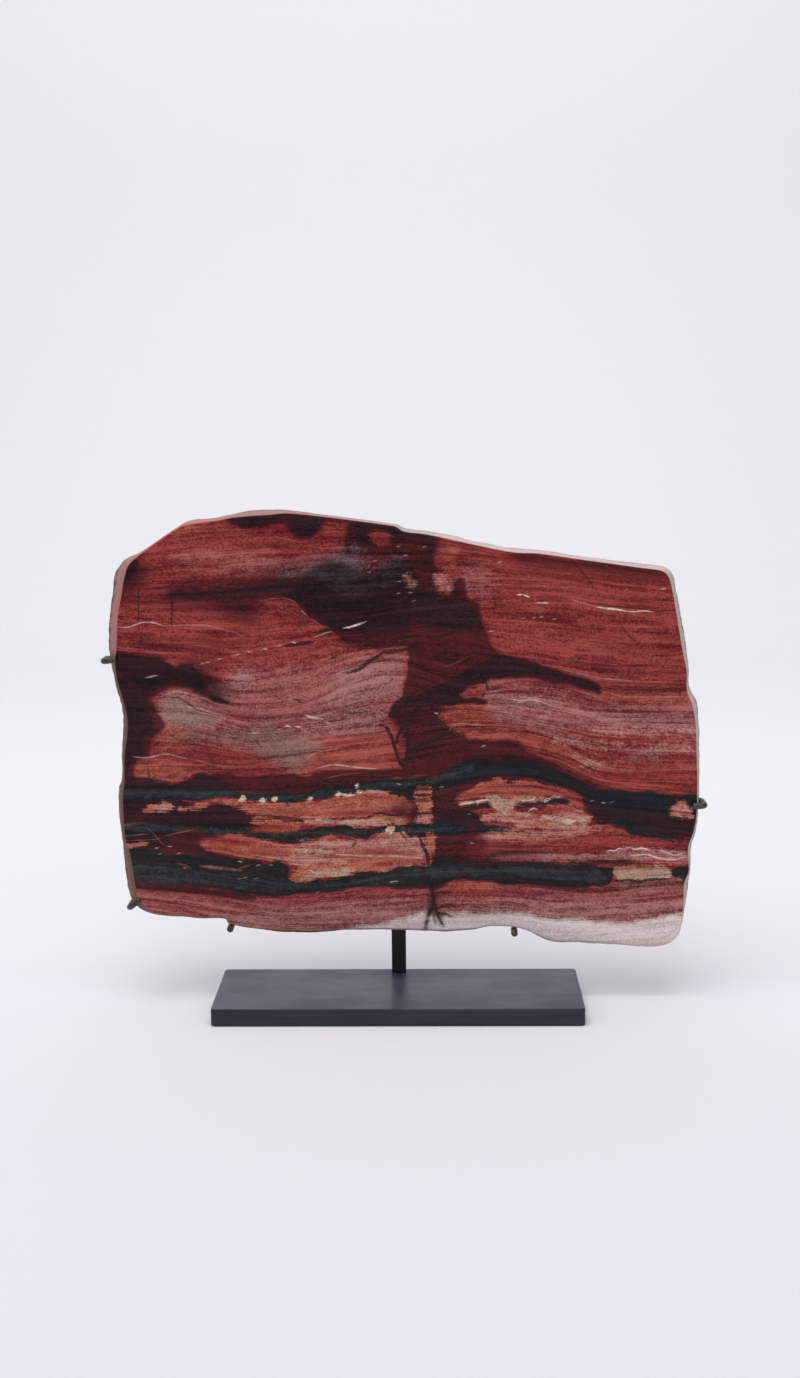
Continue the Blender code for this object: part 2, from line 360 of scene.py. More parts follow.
# %% Rings of the rim
# Each ring: depth behind the face in mm, offset in mm, and its share of the overhang.
RIM_SECTIONS = [
    (0.0, -0.5, 0.0), (0.25, -0.12, 0.0), (0.6, 0.02, 0.06), (1.8, 0.12, 0.24), (3.2, 0.2, 0.42),
    (5.0, 0.18, 0.6), (6.8, 0.12, 0.78), (8.6, 0.05, 0.92), (10.4, 0.0, 1.0), (12.2, -0.05, 0.98),
    (13.8, -0.1, 0.92), (14.9, -0.4, 0.9), (15.7, -1.1, 0.9),
]
CHIP_DEPTH, CHIP_SCALE = 0.5, 90.0
GRIT_DEPTH, GRIT_SCALE = 0.22, 420.0
LEDGE_DEPTH, LEDGE_SCALES = 0.28, (20, 60, 300.0)
front_corner, back_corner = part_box("jasper_slab")
SLAB_FRONT = front_corner.y

along = np.roll(face_ring, -1, axis=0) - np.roll(face_ring, 1, axis=0)
outward = np.column_stack([-along[:, 1], along[:, 0]])
outward /= np.linalg.norm(outward, axis=1)[:, None]


def rim_ring(depth, offset, share):
    """Ring of the rim at that depth in mm, roughened where the stone is unpolished."""
    ring = np.empty((len(face_ring), 3))
    for i, (x, z, overhang) in enumerate(face_ring):
        spot = Vector((x, depth, z)) * MM
        rough = min(1.0, share * 1.6) * min(1.0, overhang * 0.5 + 0.2)
        chip = noise.noise(spot * CHIP_SCALE) * CHIP_DEPTH
        grit = noise.noise(spot * GRIT_SCALE) * GRIT_DEPTH
        ledge = noise.noise(Vector([part * scale for part, scale in zip(spot, LEDGE_SCALES)])) * LEDGE_DEPTH
        out = offset + overhang * share + (chip + grit + ledge) * rough
        ring[i] = (x + outward[i, 0] * out, depth, z + outward[i, 1] * out)
    return ring


rings = [rim_ring(*section) for section in RIM_SECTIONS]
inner = face_ring[:, :2] + outward * RIM_SECTIONS[0][1]
print("slab", round((back_corner.y - front_corner.y) / MM, 2), "mm thick")

# %% [markdown]
# Now the points are listed in bulk with arrays. The front grid's own border is the first ring,
# so the surface has no seam. The back is flat and hidden, so its grid has half the columns and
# rows: nobody will look for fine detail there, and the model stays light.

# %% Points of the slab
BACK_COLUMNS, BACK_ROWS = FACE_COLUMNS // 2, FACE_ROWS // 2
BACK_INSET = 1.4


def sides_of(ring, rows, columns):
    """Left, top, right and bottom side of a ring, all running up or to the right."""
    ring = np.vstack([ring, ring[:1]])
    cuts = np.cumsum([0, rows, columns, rows, columns])
    left, top, right, bottom = [ring[a:b + 1] for a, b in zip(cuts, cuts[1:])]
    return left, top, right[::-1], bottom[::-1]


front = patch(*sides_of(inner, FACE_ROWS, FACE_COLUMNS))
front_points = np.dstack([front[..., 0], np.zeros(front.shape[:2]), front[..., 1]]).reshape(-1, 3)
back_edge = rings[-1][::2][:, [0, 2]] - outward[::2] * BACK_INSET
back = patch(*sides_of(back_edge, BACK_ROWS, BACK_COLUMNS))
back_depth = np.full(back.shape[:2], RIM_SECTIONS[-1][0])
back_points = np.dstack([back[..., 0], back_depth, back[..., 1]]).reshape(-1, 3)
points = np.vstack([front_points, *rings[1:], back_points])
back_start = len(points) - len(back_points)
print("slab:", len(front_points), "points in front,", len(back_points), "at the back")

# %% [markdown]
# The faces follow from the order of the points: quads inside each grid, quads from ring to
# ring, and a strip of triangles where the fine last ring meets the coarse border of the back.
# Smooth shading hides the small facets, and edges sharper than 40 degrees stay crisp, so the
# polished face ends in a clean line.

# %% One closed mesh
SHARP_ANGLE = math.radians(40)


def ring_order(rows, columns):
    """Grid indices round the border, clockwise from the lower left corner."""
    index = np.arange((rows + 1) * (columns + 1)).reshape(rows + 1, columns + 1)
    return np.concatenate([index[:-1, 0], index[-1, :-1], index[:0:-1, -1], index[0, :0:-1]])


def grid_quads(rows, columns, first):
    """Quads of a grid, facing the viewer."""
    index = first + np.arange((rows + 1) * (columns + 1)).reshape(rows + 1, columns + 1)
    quads = np.stack([index[:-1, :-1], index[:-1, 1:], index[1:, 1:], index[1:, :-1]], axis=-1)
    return quads.reshape(-1, 4)


border = ring_order(FACE_ROWS, FACE_COLUMNS)
ring_ids = [border]
for k in range(len(rings) - 1):
    ring_ids.append(len(front_points) + k * len(border) + np.arange(len(border)))

faces = grid_quads(FACE_ROWS, FACE_COLUMNS, 0).tolist()
for near, far in zip(ring_ids, ring_ids[1:]):
    faces += np.column_stack([near, np.roll(near, -1), np.roll(far, -1), far]).tolist()
faces += grid_quads(BACK_ROWS, BACK_COLUMNS, back_start)[:, ::-1].tolist()
fine, fine_next = ring_ids[-1][::2], np.roll(ring_ids[-1], -1)[::2]
fine_after = np.roll(fine, -1)
coarse = back_start + ring_order(BACK_ROWS, BACK_COLUMNS)
coarse_next = np.roll(coarse, -1)
faces += np.column_stack([fine, fine_next, coarse]).tolist()
faces += np.column_stack([fine_next, coarse_next, coarse]).tolist()
faces += np.column_stack([fine_next, fine_after, coarse_next]).tolist()

slab_mesh = bpy.data.meshes.new("slab")
slab_mesh.from_pydata((points * MM + np.array([0.0, SLAB_FRONT, 0.0])).tolist(), [], faces)
slab_mesh.shade_smooth()
slab_mesh.set_sharp_from_angle(angle=SHARP_ANGLE)
slab = bpy.data.objects.new("slab", slab_mesh)
bpy.context.scene.collection.objects.link(slab)
slab_mesh.calc_loop_triangles()
print("slab:", len(points), "points,", len(slab_mesh.loop_triangles), "triangles")

# %% [markdown]
# Jasper is mud that silica has turned to stone, so its finest lines follow the old beds. The
# beds are not straight: they dip, swell over lenses and pinch out. A few horizons are read
# across the face, each with the height that its bed had before it was bent. Between them
# the height is blended. Every later streak is drawn in this bed height instead of plain z, and
# so bends with the beds.

# %% Bed height of every point
# Each horizon: its height before it was bent, then its points on the face, in mm.
HORIZONS = [
    (30, [(-200, 45), (0, 32), (100, 20), (205, 22)]),
    (50, [(-200, 66), (-164, 62), (-100, 51), (0, 50), (60, 52), (108, 45), (150, 46), (205, 52)]),
    (78, [(-200, 86), (-135, 80), (-85, 73), (-45, 76), (0, 80), (60, 83), (128, 78), (205, 84)]),
    (96, [(-200, 105), (-150, 104), (-68, 88), (-37, 88), (0, 94), (60, 97), (125, 97), (205, 98)]),
    (118, [(-200, 122), (-101, 118), (-60, 117), (-20, 118), (20, 120), (60, 121), (107, 120), (150, 122),
     (205, 116)]),
    (140, [(-200, 140), (-101, 140), (-60, 141), (-20, 146), (20, 145), (60, 150), (100, 148), (130, 137),
     (205, 128)]),
    (160, [(-200, 152), (-150, 155), (-100, 157), (-50, 160), (0, 160), (40, 168), (80, 168), (110, 163),
     (140, 150), (205, 142)]),
    (185, [(-200, 178), (-150, 176), (-100, 172), (-50, 176), (0, 182), (45, 188), (80, 188), (110, 180),
     (140, 165), (205, 163)]),
    (205, [(-200, 200), (-140, 200), (-100, 190), (-60, 194), (-10, 200), (40, 204), (80, 201),
     (120, 195), (205, 190)]),
    (228, [(-200, 226), (-150, 222), (-110, 210), (-60, 214), (-30, 228), (0, 232), (40, 218), (80, 224),
     (110, 222), (140, 214), (205, 212)]),
    (250, [(-200, 246), (-150, 242), (-110, 240), (-70, 246), (-30, 252), (0, 254), (40, 252), (80, 244),
     (130, 236), (205, 234)]),
    (272, [(-200, 270), (-100, 268), (-40, 268), (0, 272), (60, 278), (118, 277), (150, 271),
     (205, 266)]),
    (300, [(-200, 296), (-100, 300), (0, 306), (60, 304), (124, 296), (205, 288)]),
    (330, [(-200, 325), (-100, 334), (0, 330), (60, 318), (124, 308), (205, 298)]),
]
SPOTS = points[:, [0, 2]]


def height_at(line, x):
    """Height of a horizon at x, on the smooth curve through its points."""
    path = smooth(line, closed=False, step=3)
    return np.interp(x, path[:, 0], path[:, 1])


levels = np.array([height_at(line, SPOTS[:, 0]) for _, line in HORIZONS])
bed = SPOTS[:, 1] - levels[0] + HORIZONS[0][0]
for k in range(1, len(HORIZONS)):
    low, high = HORIZONS[k - 1][0], HORIZONS[k][0]
    share = (SPOTS[:, 1] - levels[k - 1]) / (levels[k] - levels[k - 1])
    bed = np.where(share > 0, low + share * (high - low), bed)
print("bed heights from", round(bed.min()), "to", round(bed.max()), "mm")

# %% [markdown]
# Each colour of the stone is a layer of its own, and each layer is a handful of closed shapes
# read from the face. A vertex can't hold a sharp edge, but it can hold its distance to
# the nearest edge of the layer: positive inside, negative outside. The shader later cuts that
# number at zero, and can shift it a little with noise first, which tears the edge.

# %% Distance to a layer's edge
REACH = 12.0


def distance_inside(outline):
    """Distance of every vertex to a closed outline in mm, positive inside it."""
    ring = smooth(outline)
    field = np.full(len(SPOTS), -REACH)
    near = np.all((SPOTS > ring.min(axis=0) - REACH) & (SPOTS < ring.max(axis=0) + REACH), axis=1)
    x, z = SPOTS[near].T
    nearest = np.full(len(x), REACH)
    inside = np.zeros(len(x), bool)
    for (x0, z0), (x1, z1) in zip(ring, np.roll(ring, -1, axis=0)):
        run, rise = x1 - x0, z1 - z0
        t = np.clip(((x - x0) * run + (z - z0) * rise) / (run**2 + rise**2 + 1e-9), 0, 1)
        nearest = np.minimum(nearest, np.hypot(x - x0 - t * run, z - z0 - t * rise))
        slope = run / rise if rise else 0.0
        inside ^= ((z0 > z) != (z1 > z)) & (x - x0 < (z - z0) * slope)
    field[near] = np.where(inside, nearest, -nearest)
    return field


def store(name, values):
    """Keeps one value, or one triple, for every vertex under that name."""
    triple = values.ndim == 2
    attribute = slab_mesh.attributes.new(name, 'FLOAT_VECTOR' if triple else 'FLOAT', 'POINT')
    attribute.data.foreach_set("vector" if triple else "value", values.astype(np.float32).ravel())


def store_layer(name, outlines):
    """Distance to the nearest of the layer's outlines."""
    field = np.max([distance_inside(outline) for outline in outlines], axis=0)
    store(name, field)
    print("layer", name, len(outlines), "shapes,", int((field > 0).sum()), "points inside")


rim_share = np.zeros(len(points))
rim_share[len(front_points):back_start] = 1.0
back_share = np.zeros(len(points))
back_share[back_start:] = 1.0
store("bed", bed)
store("rim", rim_share)
store("sawn", back_share)
print("points on the rim:", int(rim_share.sum()))

# %% [markdown]
# The broad colours come first. Most of the slab is brick red. Parts of it are warmer and more
# orange, because the iron in them rusted further. These shapes could be painted by hand, but
# a list of outlines in millimetres is easy to correct, and it fits the mesh at any fineness.

# %% Warm layers
# Closed outlines with x and z on the face in mm, here and in the next cells.
WARM = [
    [(70, 256), (76, 296), (120, 303), (172, 296), (186, 272), (192, 244), (206, 200), (206, 166),
     (150, 172), (110, 186), (64, 192), (30, 200), (56, 208), (90, 214), (140, 214), (150, 236),
     (110, 244), (84, 250)],
    [(-178, 306), (-150, 330), (-120, 333), (-70, 320), (-40, 330), (-34, 316), (-80, 306), (-110, 296),
     (-160, 292)],
    [(-100, 252), (-70, 258), (-40, 254), (-10, 246), (6, 244), (6, 206), (-60, 190), (-120, 180),
     (-168, 176), (-160, 166), (-100, 168), (-4, 164), (4, 180), (-80, 205), (-110, 236)],
    [(-186, 60), (-100, 56), (0, 62), (60, 66), (120, 64), (200, 66), (200, 80), (130, 76), (60, 80),
     (0, 76), (-100, 70), (-186, 80)],
]
ORANGE = [
    [(37, 84), (46, 84.6), (54, 84.4), (65, 83), (68, 76), (66, 70), (56, 71), (44, 73), (34, 77)],
    [(46, 190), (60, 190), (80, 188), (100, 183.4), (120, 177), (140, 169), (152, 165), (140, 163.6),
     (120, 168), (104, 174), (94, 176.6), (86, 181), (78, 184), (60, 183.4), (48, 184.4)],
    [(37, 187), (38, 193), (44, 194), (46.6, 190), (44, 186.6)],
    [(-183, 159), (-182, 164.6), (-170, 166), (-156, 165.4), (-142, 161.4), (-137.6, 160), (-148, 155.6),
     (-155, 154), (-168, 156), (-178, 157.8)],
    [(56, 112.6), (58, 118), (75, 119.6), (90, 118.6), (106, 119.6), (126, 121.6), (146, 121),
     (156, 118.6), (140, 116.6), (125, 114), (105, 112), (85, 111)],
    [(-152, 321), (-137, 322), (-136, 331), (-146, 330)],
    [(-136, 296), (-120, 297), (-119, 305), (-134, 305)],
    [(-166, 181), (-150, 179), (-145, 188), (-150, 199), (-162, 200)],
    [(3, 212), (9, 213), (8, 230), (6, 246), (2, 244), (3, 228)],
    [(42, 214.5), (48, 219), (55, 221.5), (60, 223.5), (62, 222), (61, 218), (59, 215), (55, 213),
     (48, 212.5)],
    [(28, 197), (36, 203), (45, 206), (53, 207), (60, 205), (62, 201), (58, 197), (45, 195), (34, 194)],
    [(-66, 160), (-60, 168), (-55, 172), (-48, 175), (-40, 177), (-20, 180), (-10, 186), (-5, 187),
     (-3, 180), (-1, 172), (-2, 165), (-10, 162), (-30, 164), (-50, 164.5), (-56, 163)],
    [(70, 52), (82, 52.5), (82, 57), (70, 57)],
    [(28, 303), (33, 312), (38, 317), (42, 308), (38, 301)],
    [(34, 191), (38, 193.6), (43, 192), (44.4, 187), (41, 186.4), (37, 188.4)],
]
store_layer("warm", WARM)
store_layer("orange", ORANGE)

# %% [markdown]
# Water that seeped through the stone washed the iron out of some beds. They are dusty pink,
# greyish or tan, and along the right half of the foot they are so pale that they look like
# plaster. Most of these fade into their neighbours, so their outlines can be loose.

# %% Bleached layers
BLUSH = [
    [(44, 302), (58, 300), (66, 290), (62, 282), (50, 284), (47, 294)],
    [(-186, 78), (-150, 74), (-100, 68), (-50, 71), (0, 76), (60, 78), (120, 74), (204, 80), (204, 40),
     (100, 40), (0, 44), (-120, 46), (-186, 60)],
    [(-100, 230), (-60, 236), (-20, 244), (5, 244), (8, 214), (-4, 202), (-14, 192), (-60, 190),
     (-104, 194), (-130, 206), (-120, 220)],
    [(62, 224), (100, 218), (140, 208), (206, 208), (208, 186), (160, 188), (120, 190), (96, 194),
     (62, 200)],
    [(-160, 199), (-160, 214), (-146, 217), (-128, 209), (-112, 200), (-124, 190), (-150, 190)],
    [(-64, 100), (-50, 114), (-30, 112), (-8, 117), (16, 113), (20, 99), (-20, 97), (-50, 94)],
    [(-150, 309), (-110, 312), (-80, 308), (-84, 300), (-140, 300)],
]
BLEACHED = [
    [(-134, 60), (-100, 58), (-40, 57), (0, 60), (20, 62), (20, 44), (-60, 44), (-118, 50)],
    [(-46, 204), (-20, 206), (-4, 212), (3, 222), (3, 238), (-14, 238), (-30, 234), (-40, 226),
     (-47, 215)],
    [(-62, 187), (-40, 188), (-14, 190), (-8, 199), (-12, 206), (-40, 204), (-60, 200)],
    [(-167, 200), (-163, 209), (-157, 215), (-148, 217), (-138, 213), (-126, 206), (-118, 197),
     (-124, 193), (-140, 195), (-156, 194)],
    [(-136, 216), (-124, 221), (-112, 228), (-104, 233), (-98, 228), (-108, 216), (-120, 208)],
    [(60, 214), (65, 216.5), (72, 215.5), (80, 213), (90, 212.5), (104, 210), (116, 206), (104, 203),
     (84, 204), (66, 203), (62, 207)],
    [(63, 203), (70, 198), (85, 195), (100, 192), (111, 190), (113, 194), (100, 197), (84, 201),
     (70, 206)],
    [(107, 206), (115, 204.5), (122, 202), (130, 199.5), (137, 197), (143, 195), (160, 194), (170, 192.5),
     (206, 192.5), (206, 197), (180, 198), (160, 200), (140, 201), (120, 207)],
    [(146, 98), (165, 100), (190, 97), (200, 99), (200, 107), (176, 104), (150, 106)],
    [(-104, 61), (-60, 64), (-10, 67), (24, 70), (24, 60), (-20, 57), (-70, 56), (-104, 57)],
    [(30, 60), (60, 68), (100, 70), (140, 66), (198, 68), (204, 58), (204, 48), (100, 50), (30, 52)],
]
TAN = [
    [(158, 168), (168, 172), (180, 177), (184, 174), (170, 167)],
    [(38, 286), (41, 291), (46, 292), (44, 284)],
    [(150, 79.6), (160, 83), (172, 83), (190, 84.4), (196, 82), (186, 80.6), (168, 78.6)],
    [(-156, 186), (-130, 189), (-106, 193), (-90, 196), (-76, 190), (-62, 186), (-53, 181), (-58, 173),
     (-64, 166), (-70, 160.6), (-76, 164), (-88, 170), (-104, 178), (-128, 183)],
    [(-163, 203), (-160, 210), (-152, 212), (-144, 208), (-134, 202), (-124, 197), (-134, 192),
     (-150, 193)],
]
PALE = [
    [(-42, 48), (-22, 52), (-6, 54.6), (8, 58.5), (16, 62), (22, 60), (28, 58), (35, 60), (60, 60.5),
     (80, 61), (90, 60), (95, 58.5), (100, 56.5), (120, 56.5), (137, 54), (155, 53.5), (175, 56),
     (198, 58.5), (204, 30), (80, 30), (0, 36), (-30, 44)],
]
for name, outlines in (("blush", BLUSH), ("bleached", BLEACHED), ("tan", TAN), ("pale", PALE)):
    store_layer(name, outlines)

# %% [markdown]
# Iron gives the dark colours too. A wide stain runs down the slab a little right of the middle
# and spreads to the left near the top; it is a deep wine red, with a sooty heart. Thin tongues
# of it reach into the beds on both sides. A stain grew outwards in steps, so it is drawn in
# steps as well: a loose shadow, the red itself, a grey haze in places, and two darker ones.

# %% Wine red stains
WINE = [
    [(-74, 288), (-66, 294), (-60, 297), (-52, 302), (-44, 303), (-38, 308), (-34, 318), (-30, 334),
     (10, 334), (26, 318), (25.5, 310), (25, 304), (30, 299), (27, 292), (32, 284), (36, 283), (39, 290),
     (43, 294), (46, 291), (47, 283), (50, 279), (57, 276), (57, 270), (60, 262), (60.5, 255), (64, 251),
     (67, 246), (71, 242), (64, 226), (55, 221), (45, 217), (42, 212), (20, 210), (4, 212), (7, 230),
     (7, 246), (0, 247), (-14, 246), (-35, 250), (-42, 257), (-50, 261), (-56, 266), (-60, 268.5),
     (-65, 274), (-68, 278), (-75, 280.5), (-79, 284)],
    [(-116, 338), (-110, 331), (-101, 328), (-88, 328), (-82, 331), (-72, 329), (-70, 325), (-66, 321.5),
     (-58, 321), (-54, 324), (-50, 328), (-46, 332), (-30, 331), (-28, 342), (-110, 344)],
    [(3, 205), (-1, 198), (2, 186), (1, 174), (3, 164), (2, 154), (5, 148), (9, 142), (11, 133), (8, 124),
     (22, 117), (25, 112), (25, 105), (23, 96), (40, 94), (62, 96), (68, 100), (64, 111), (56, 117),
     (60, 122), (52, 131), (44, 137), (40, 142), (50, 148), (60, 152.5), (70, 155.5), (76, 151),
     (88, 154.5), (102, 150), (120, 149), (134, 146), (150, 148), (143, 149), (138, 150.5), (125, 158),
     (113, 163.5), (100, 170), (90, 175), (86, 178.5), (83, 181), (78, 183), (65, 182), (55, 183),
     (48, 184), (45, 188), (37, 191), (33, 195), (28, 200), (32, 205), (20, 206)],
    [(-140, 158), (-125, 160), (-115, 160.5), (-108, 158), (-101, 157), (-92, 160), (-85, 161),
     (-70, 159), (-65, 157.5), (-60, 158.5), (-55, 162), (-45, 162.5), (-20, 162), (7, 161), (7, 150),
     (-40, 150), (-101, 146)],
    [(40, 160), (60, 167), (100, 164), (125, 152), (150, 148), (190, 144), (208, 142), (208, 104),
     (198, 104), (192, 108), (180, 112), (165, 115), (155, 120), (145, 123), (134, 125), (128, 134),
     (126, 142), (112, 150), (90, 156)],
    [(128, 96), (150, 95), (166, 97), (166, 101), (145, 102), (128, 99)],
    [(-188, 86), (-170, 84), (-135, 80), (-100, 74.5), (-100, 71), (-135, 75), (-184, 79)],
    [(-12, 82), (20, 86), (34, 84), (30, 79), (20, 78.6), (0, 78.4)],
    [(-196, 243), (-183, 244), (-168, 241.5), (-162, 241), (-157, 238.5), (-154, 236), (-150, 235.5),
     (-138, 235.5), (-133, 231), (-130, 224), (-128, 217), (-120, 213), (-114, 209), (-120, 208.5),
     (-126, 210), (-131, 214), (-140, 218), (-145, 220), (-150, 220.5), (-155, 219.5), (-161, 217),
     (-166, 213), (-164, 205), (-161, 199), (-159, 193), (-164, 189), (-168, 184), (-170, 178),
     (-171, 172), (-180, 168), (-183, 150), (-196, 150)],
]
STAIN = [
    [(-156, 283), (-150, 288), (-130, 290), (-100, 294), (-78, 300), (-60, 303), (-44, 308), (-30, 300),
     (-44, 282), (-66, 281), (-84, 281), (-92, 274), (-98, 266), (-108, 265), (-120, 270), (-140, 276)],
    [(-140, 238), (-128, 234), (-120, 222), (-116, 214), (-126, 214), (-138, 226)],
    [(-186, 310), (-170, 304), (-172, 290), (-188, 282)],
    [(80, 312), (120, 306), (178, 299), (176, 294), (120, 300), (84, 304)],
]
SOOT = [
    [(-156, 282), (-152, 286), (-135, 286.6), (-112, 286), (-92, 290), (-76, 293), (-70, 288), (-84, 284),
     (-112, 282.6), (-135, 282)],
    [(-74, 284), (-64, 294), (-54, 302), (-42, 306), (-30, 302), (-20, 297), (-10, 300), (4, 306),
     (14, 296), (14, 280), (10, 262), (-10, 262), (-40, 268), (-60, 278)],
    [(8, 288), (20, 286), (34, 281), (46, 279), (55, 273), (59, 262), (56, 256), (40, 258), (20, 262),
     (10, 266)],
    [(-116, 338), (-108, 331), (-96, 329), (-84, 331), (-76, 335), (-72, 340)],
    [(-74, 338), (-68, 328), (-62, 322), (-56, 323), (-51, 330), (-46, 338)],
    [(-30, 334), (-26, 322), (-14, 316), (4, 320), (20, 318), (24, 310), (30, 322), (4, 330)],
    [(19.6, 82), (28, 82), (28, 74), (27, 68), (29, 61), (30, 53), (25.6, 59), (23, 61), (20.6, 57),
     (19.4, 49), (17, 49), (18.6, 58), (20.4, 66), (21, 74)],
]
NIGHT = [
    [(128, 143), (150, 147), (190, 143), (208, 142), (208, 106), (198, 110), (186, 114), (172, 119),
     (160, 122), (148, 125), (138, 127), (132, 133)],
    [(-192, 142.4), (-150, 142), (-138, 139.6), (-126, 139.4), (-118, 138.8), (-112, 137), (-104, 132.8),
     (-97, 131), (-80, 130.4), (-60, 128), (-46, 129), (-36, 127.4), (-50, 126), (-64, 125), (-80, 128),
     (-101, 129.4), (-101, 127), (-98, 124), (-90, 121), (-101, 120), (-101, 115), (-116, 117.4),
     (-124, 115), (-134, 114.4), (-138, 111), (-135, 107), (-122, 103.6), (-110, 100.6), (-100, 99),
     (-92, 97), (-104, 94), (-150, 100), (-192, 104)],
    [(-192, 149), (-184, 158), (-178, 157), (-168, 156), (-160, 154.4), (-155, 153.6), (-148, 155.2),
     (-142, 157.6), (-137, 160), (-125, 158), (-112, 153), (-104, 149), (-120, 147), (-192, 147)],
    [(25, 124), (40, 125), (62, 124.6), (60, 128), (52, 133), (45, 137), (56, 138.8), (64, 138.4),
     (62, 135.4), (50, 134), (30, 130)],
    [(-187, 288), (-186, 300), (-181.5, 306), (-175.5, 310), (-174.5, 306), (-177, 298), (-181, 293)],
    [(-74, 282), (-66, 288), (-60, 294), (-50, 290), (-40, 284), (-30, 281), (-15, 284), (0, 288),
     (8, 284), (10, 272), (8, 260), (0, 256), (-15, 255), (-30, 257), (-40, 259), (-50, 265), (-57, 272),
     (-66, 278)],
    [(-196, 243), (-183, 243.5), (-168, 240.8), (-162, 240.5), (-157, 238), (-154, 235.5), (-150, 234.5),
     (-138, 235), (-135, 231), (-132, 224), (-131, 217), (-126, 215), (-120, 211.5), (-115.5, 209.3),
     (-115.5, 208), (-120, 209), (-125, 211), (-130, 214.5), (-140, 219), (-148, 222.5), (-158, 222),
     (-164, 219), (-170, 213), (-170, 204), (-167, 196), (-167, 191), (-172, 187), (-174, 180),
     (-176, 172), (-184, 166), (-188, 150), (-196, 150)],
    [(71, 242), (80, 239.5), (88, 238), (95, 235.5), (100, 233.5), (107, 231.5), (115, 229), (125, 226.5),
     (132, 224), (138, 219), (139.5, 216), (138, 214.5), (132, 216), (125, 218), (118, 220), (107, 221.5),
     (100, 222.5), (95, 224), (88, 225.8), (82, 225), (70, 225), (64, 225.5), (60, 223), (55, 221.5),
     (50, 220), (45, 217), (42, 214.5), (48, 211.5), (56, 212), (61, 210), (60, 207.5), (52, 208.5),
     (45, 208), (32, 206), (15, 205), (3, 203), (-1, 198), (-6, 200), (-2, 208), (2, 212), (12, 214),
     (26, 219), (42, 228), (56, 236)],
    [(44, 172), (60, 174), (78, 173), (95, 168), (110, 162), (124, 155.5), (138, 149), (112, 156),
     (90, 163), (60, 166), (48, 166)],
]
HAZE = [
    [(-80, 299), (-62, 303), (-44, 309), (-28, 314), (-22, 302), (-26, 287), (-36, 284), (-46, 291),
     (-58, 297)],
    [(-20, 292), (-8, 302), (2, 306), (4, 296), (-8, 288)],
]
for name, outlines in (("stain", STAIN), ("wine", WINE), ("soot", SOOT), ("night", NIGHT), ("haze", HAZE)):
    store_layer(name, outlines)

# %% [markdown]
# Three long beds and a few lenses are almost black. Their edges are feathered along the
# bedding, and the hearts of the long ones have a green grey cast, like slate. An outline round
# each and a thinner one for each heart give both, and the shader feathers them later.

# %% Black beds
BLACK = [
    [(-104, 147), (-85, 146.5), (-70, 146), (-50, 150), (-30, 152), (-15, 155), (7, 155.5), (15, 156),
     (25, 158), (35, 162), (45, 167), (52, 169), (60, 167.5), (80, 166.5), (100, 164), (111, 160),
     (122, 155), (134, 148.5), (150, 147), (170, 146), (190, 143.5), (208, 142), (208, 126), (196, 129),
     (188, 130), (178, 131), (160, 132), (146, 134), (136, 138), (128, 143), (118, 149), (107, 152),
     (90, 156), (74, 158), (60, 156), (45, 152), (25, 147), (7, 141), (-10, 145.5), (-20, 147),
     (-30, 143.5), (-41, 144), (-50, 141.5), (-60, 141), (-75, 139), (-85, 140), (-101, 141),
     (-120, 143.5), (-140, 141), (-160, 141.5), (-196, 144), (-196, 152), (-170, 150.5), (-140, 150),
     (-120, 149)],
    [(136, 124), (150, 123), (155, 120.5), (160, 117), (165, 115), (172, 113.5), (180, 113), (187, 110),
     (192, 108), (188, 113), (180, 117), (172, 119), (166, 123), (158, 127), (146, 127)],
    [(-196, 127), (-180, 125.5), (-150, 125), (-120, 123), (-101, 121), (-90, 119), (-75, 118.5),
     (-60, 121.5), (-40, 123.5), (-35, 124), (-30, 122), (-20, 121.5), (-8, 123), (2, 124), (25, 125),
     (45, 125), (78, 121), (78, 119), (60, 117.5), (25, 115.5), (12, 114), (0, 116.5), (-6, 118),
     (-18, 116), (-21, 112), (-25, 114), (-45, 116), (-60, 113), (-70, 110), (-90, 112.5), (-101, 115),
     (-120, 117), (-150, 118), (-196, 118)],
    [(56, 136), (60, 138.5), (66, 138), (64, 136)],
    [(80, 134.5), (86, 138.5), (95, 139), (104, 142), (114, 143), (118, 139), (108, 137), (95, 137),
     (86, 135)],
    [(-196, 107), (-170, 106.5), (-150, 105), (-125, 101), (-104, 98), (-100, 99), (-92, 96), (-88, 98),
     (-82, 98.5), (-76, 94), (-76, 87), (-72, 84.5), (-64, 82.5), (-57, 86), (-50, 85), (-42, 87.5),
     (-33, 90), (-28, 91), (-10, 91.5), (3, 95), (20, 95), (25, 98), (45, 98), (60, 97.5), (90, 98),
     (111, 96.5), (125, 98), (133, 97), (136, 94), (145, 93), (148.5, 92), (149.5, 89), (148, 85.5),
     (146, 82), (143, 80), (135, 80.5), (128, 78.5), (115, 79), (100, 80), (78, 81.5), (71, 81), (66, 83),
     (52, 84.5), (40, 84.5), (33, 83), (22, 80), (15, 83), (7, 81), (-30, 79), (-45, 76), (-70, 75),
     (-85, 73), (-100, 74), (-135, 80), (-170, 84), (-190, 87)],
    [(187, 90), (190, 92.5), (196, 94), (203, 95), (203, 84), (198, 82.5), (195, 86), (190, 86.5)],
]
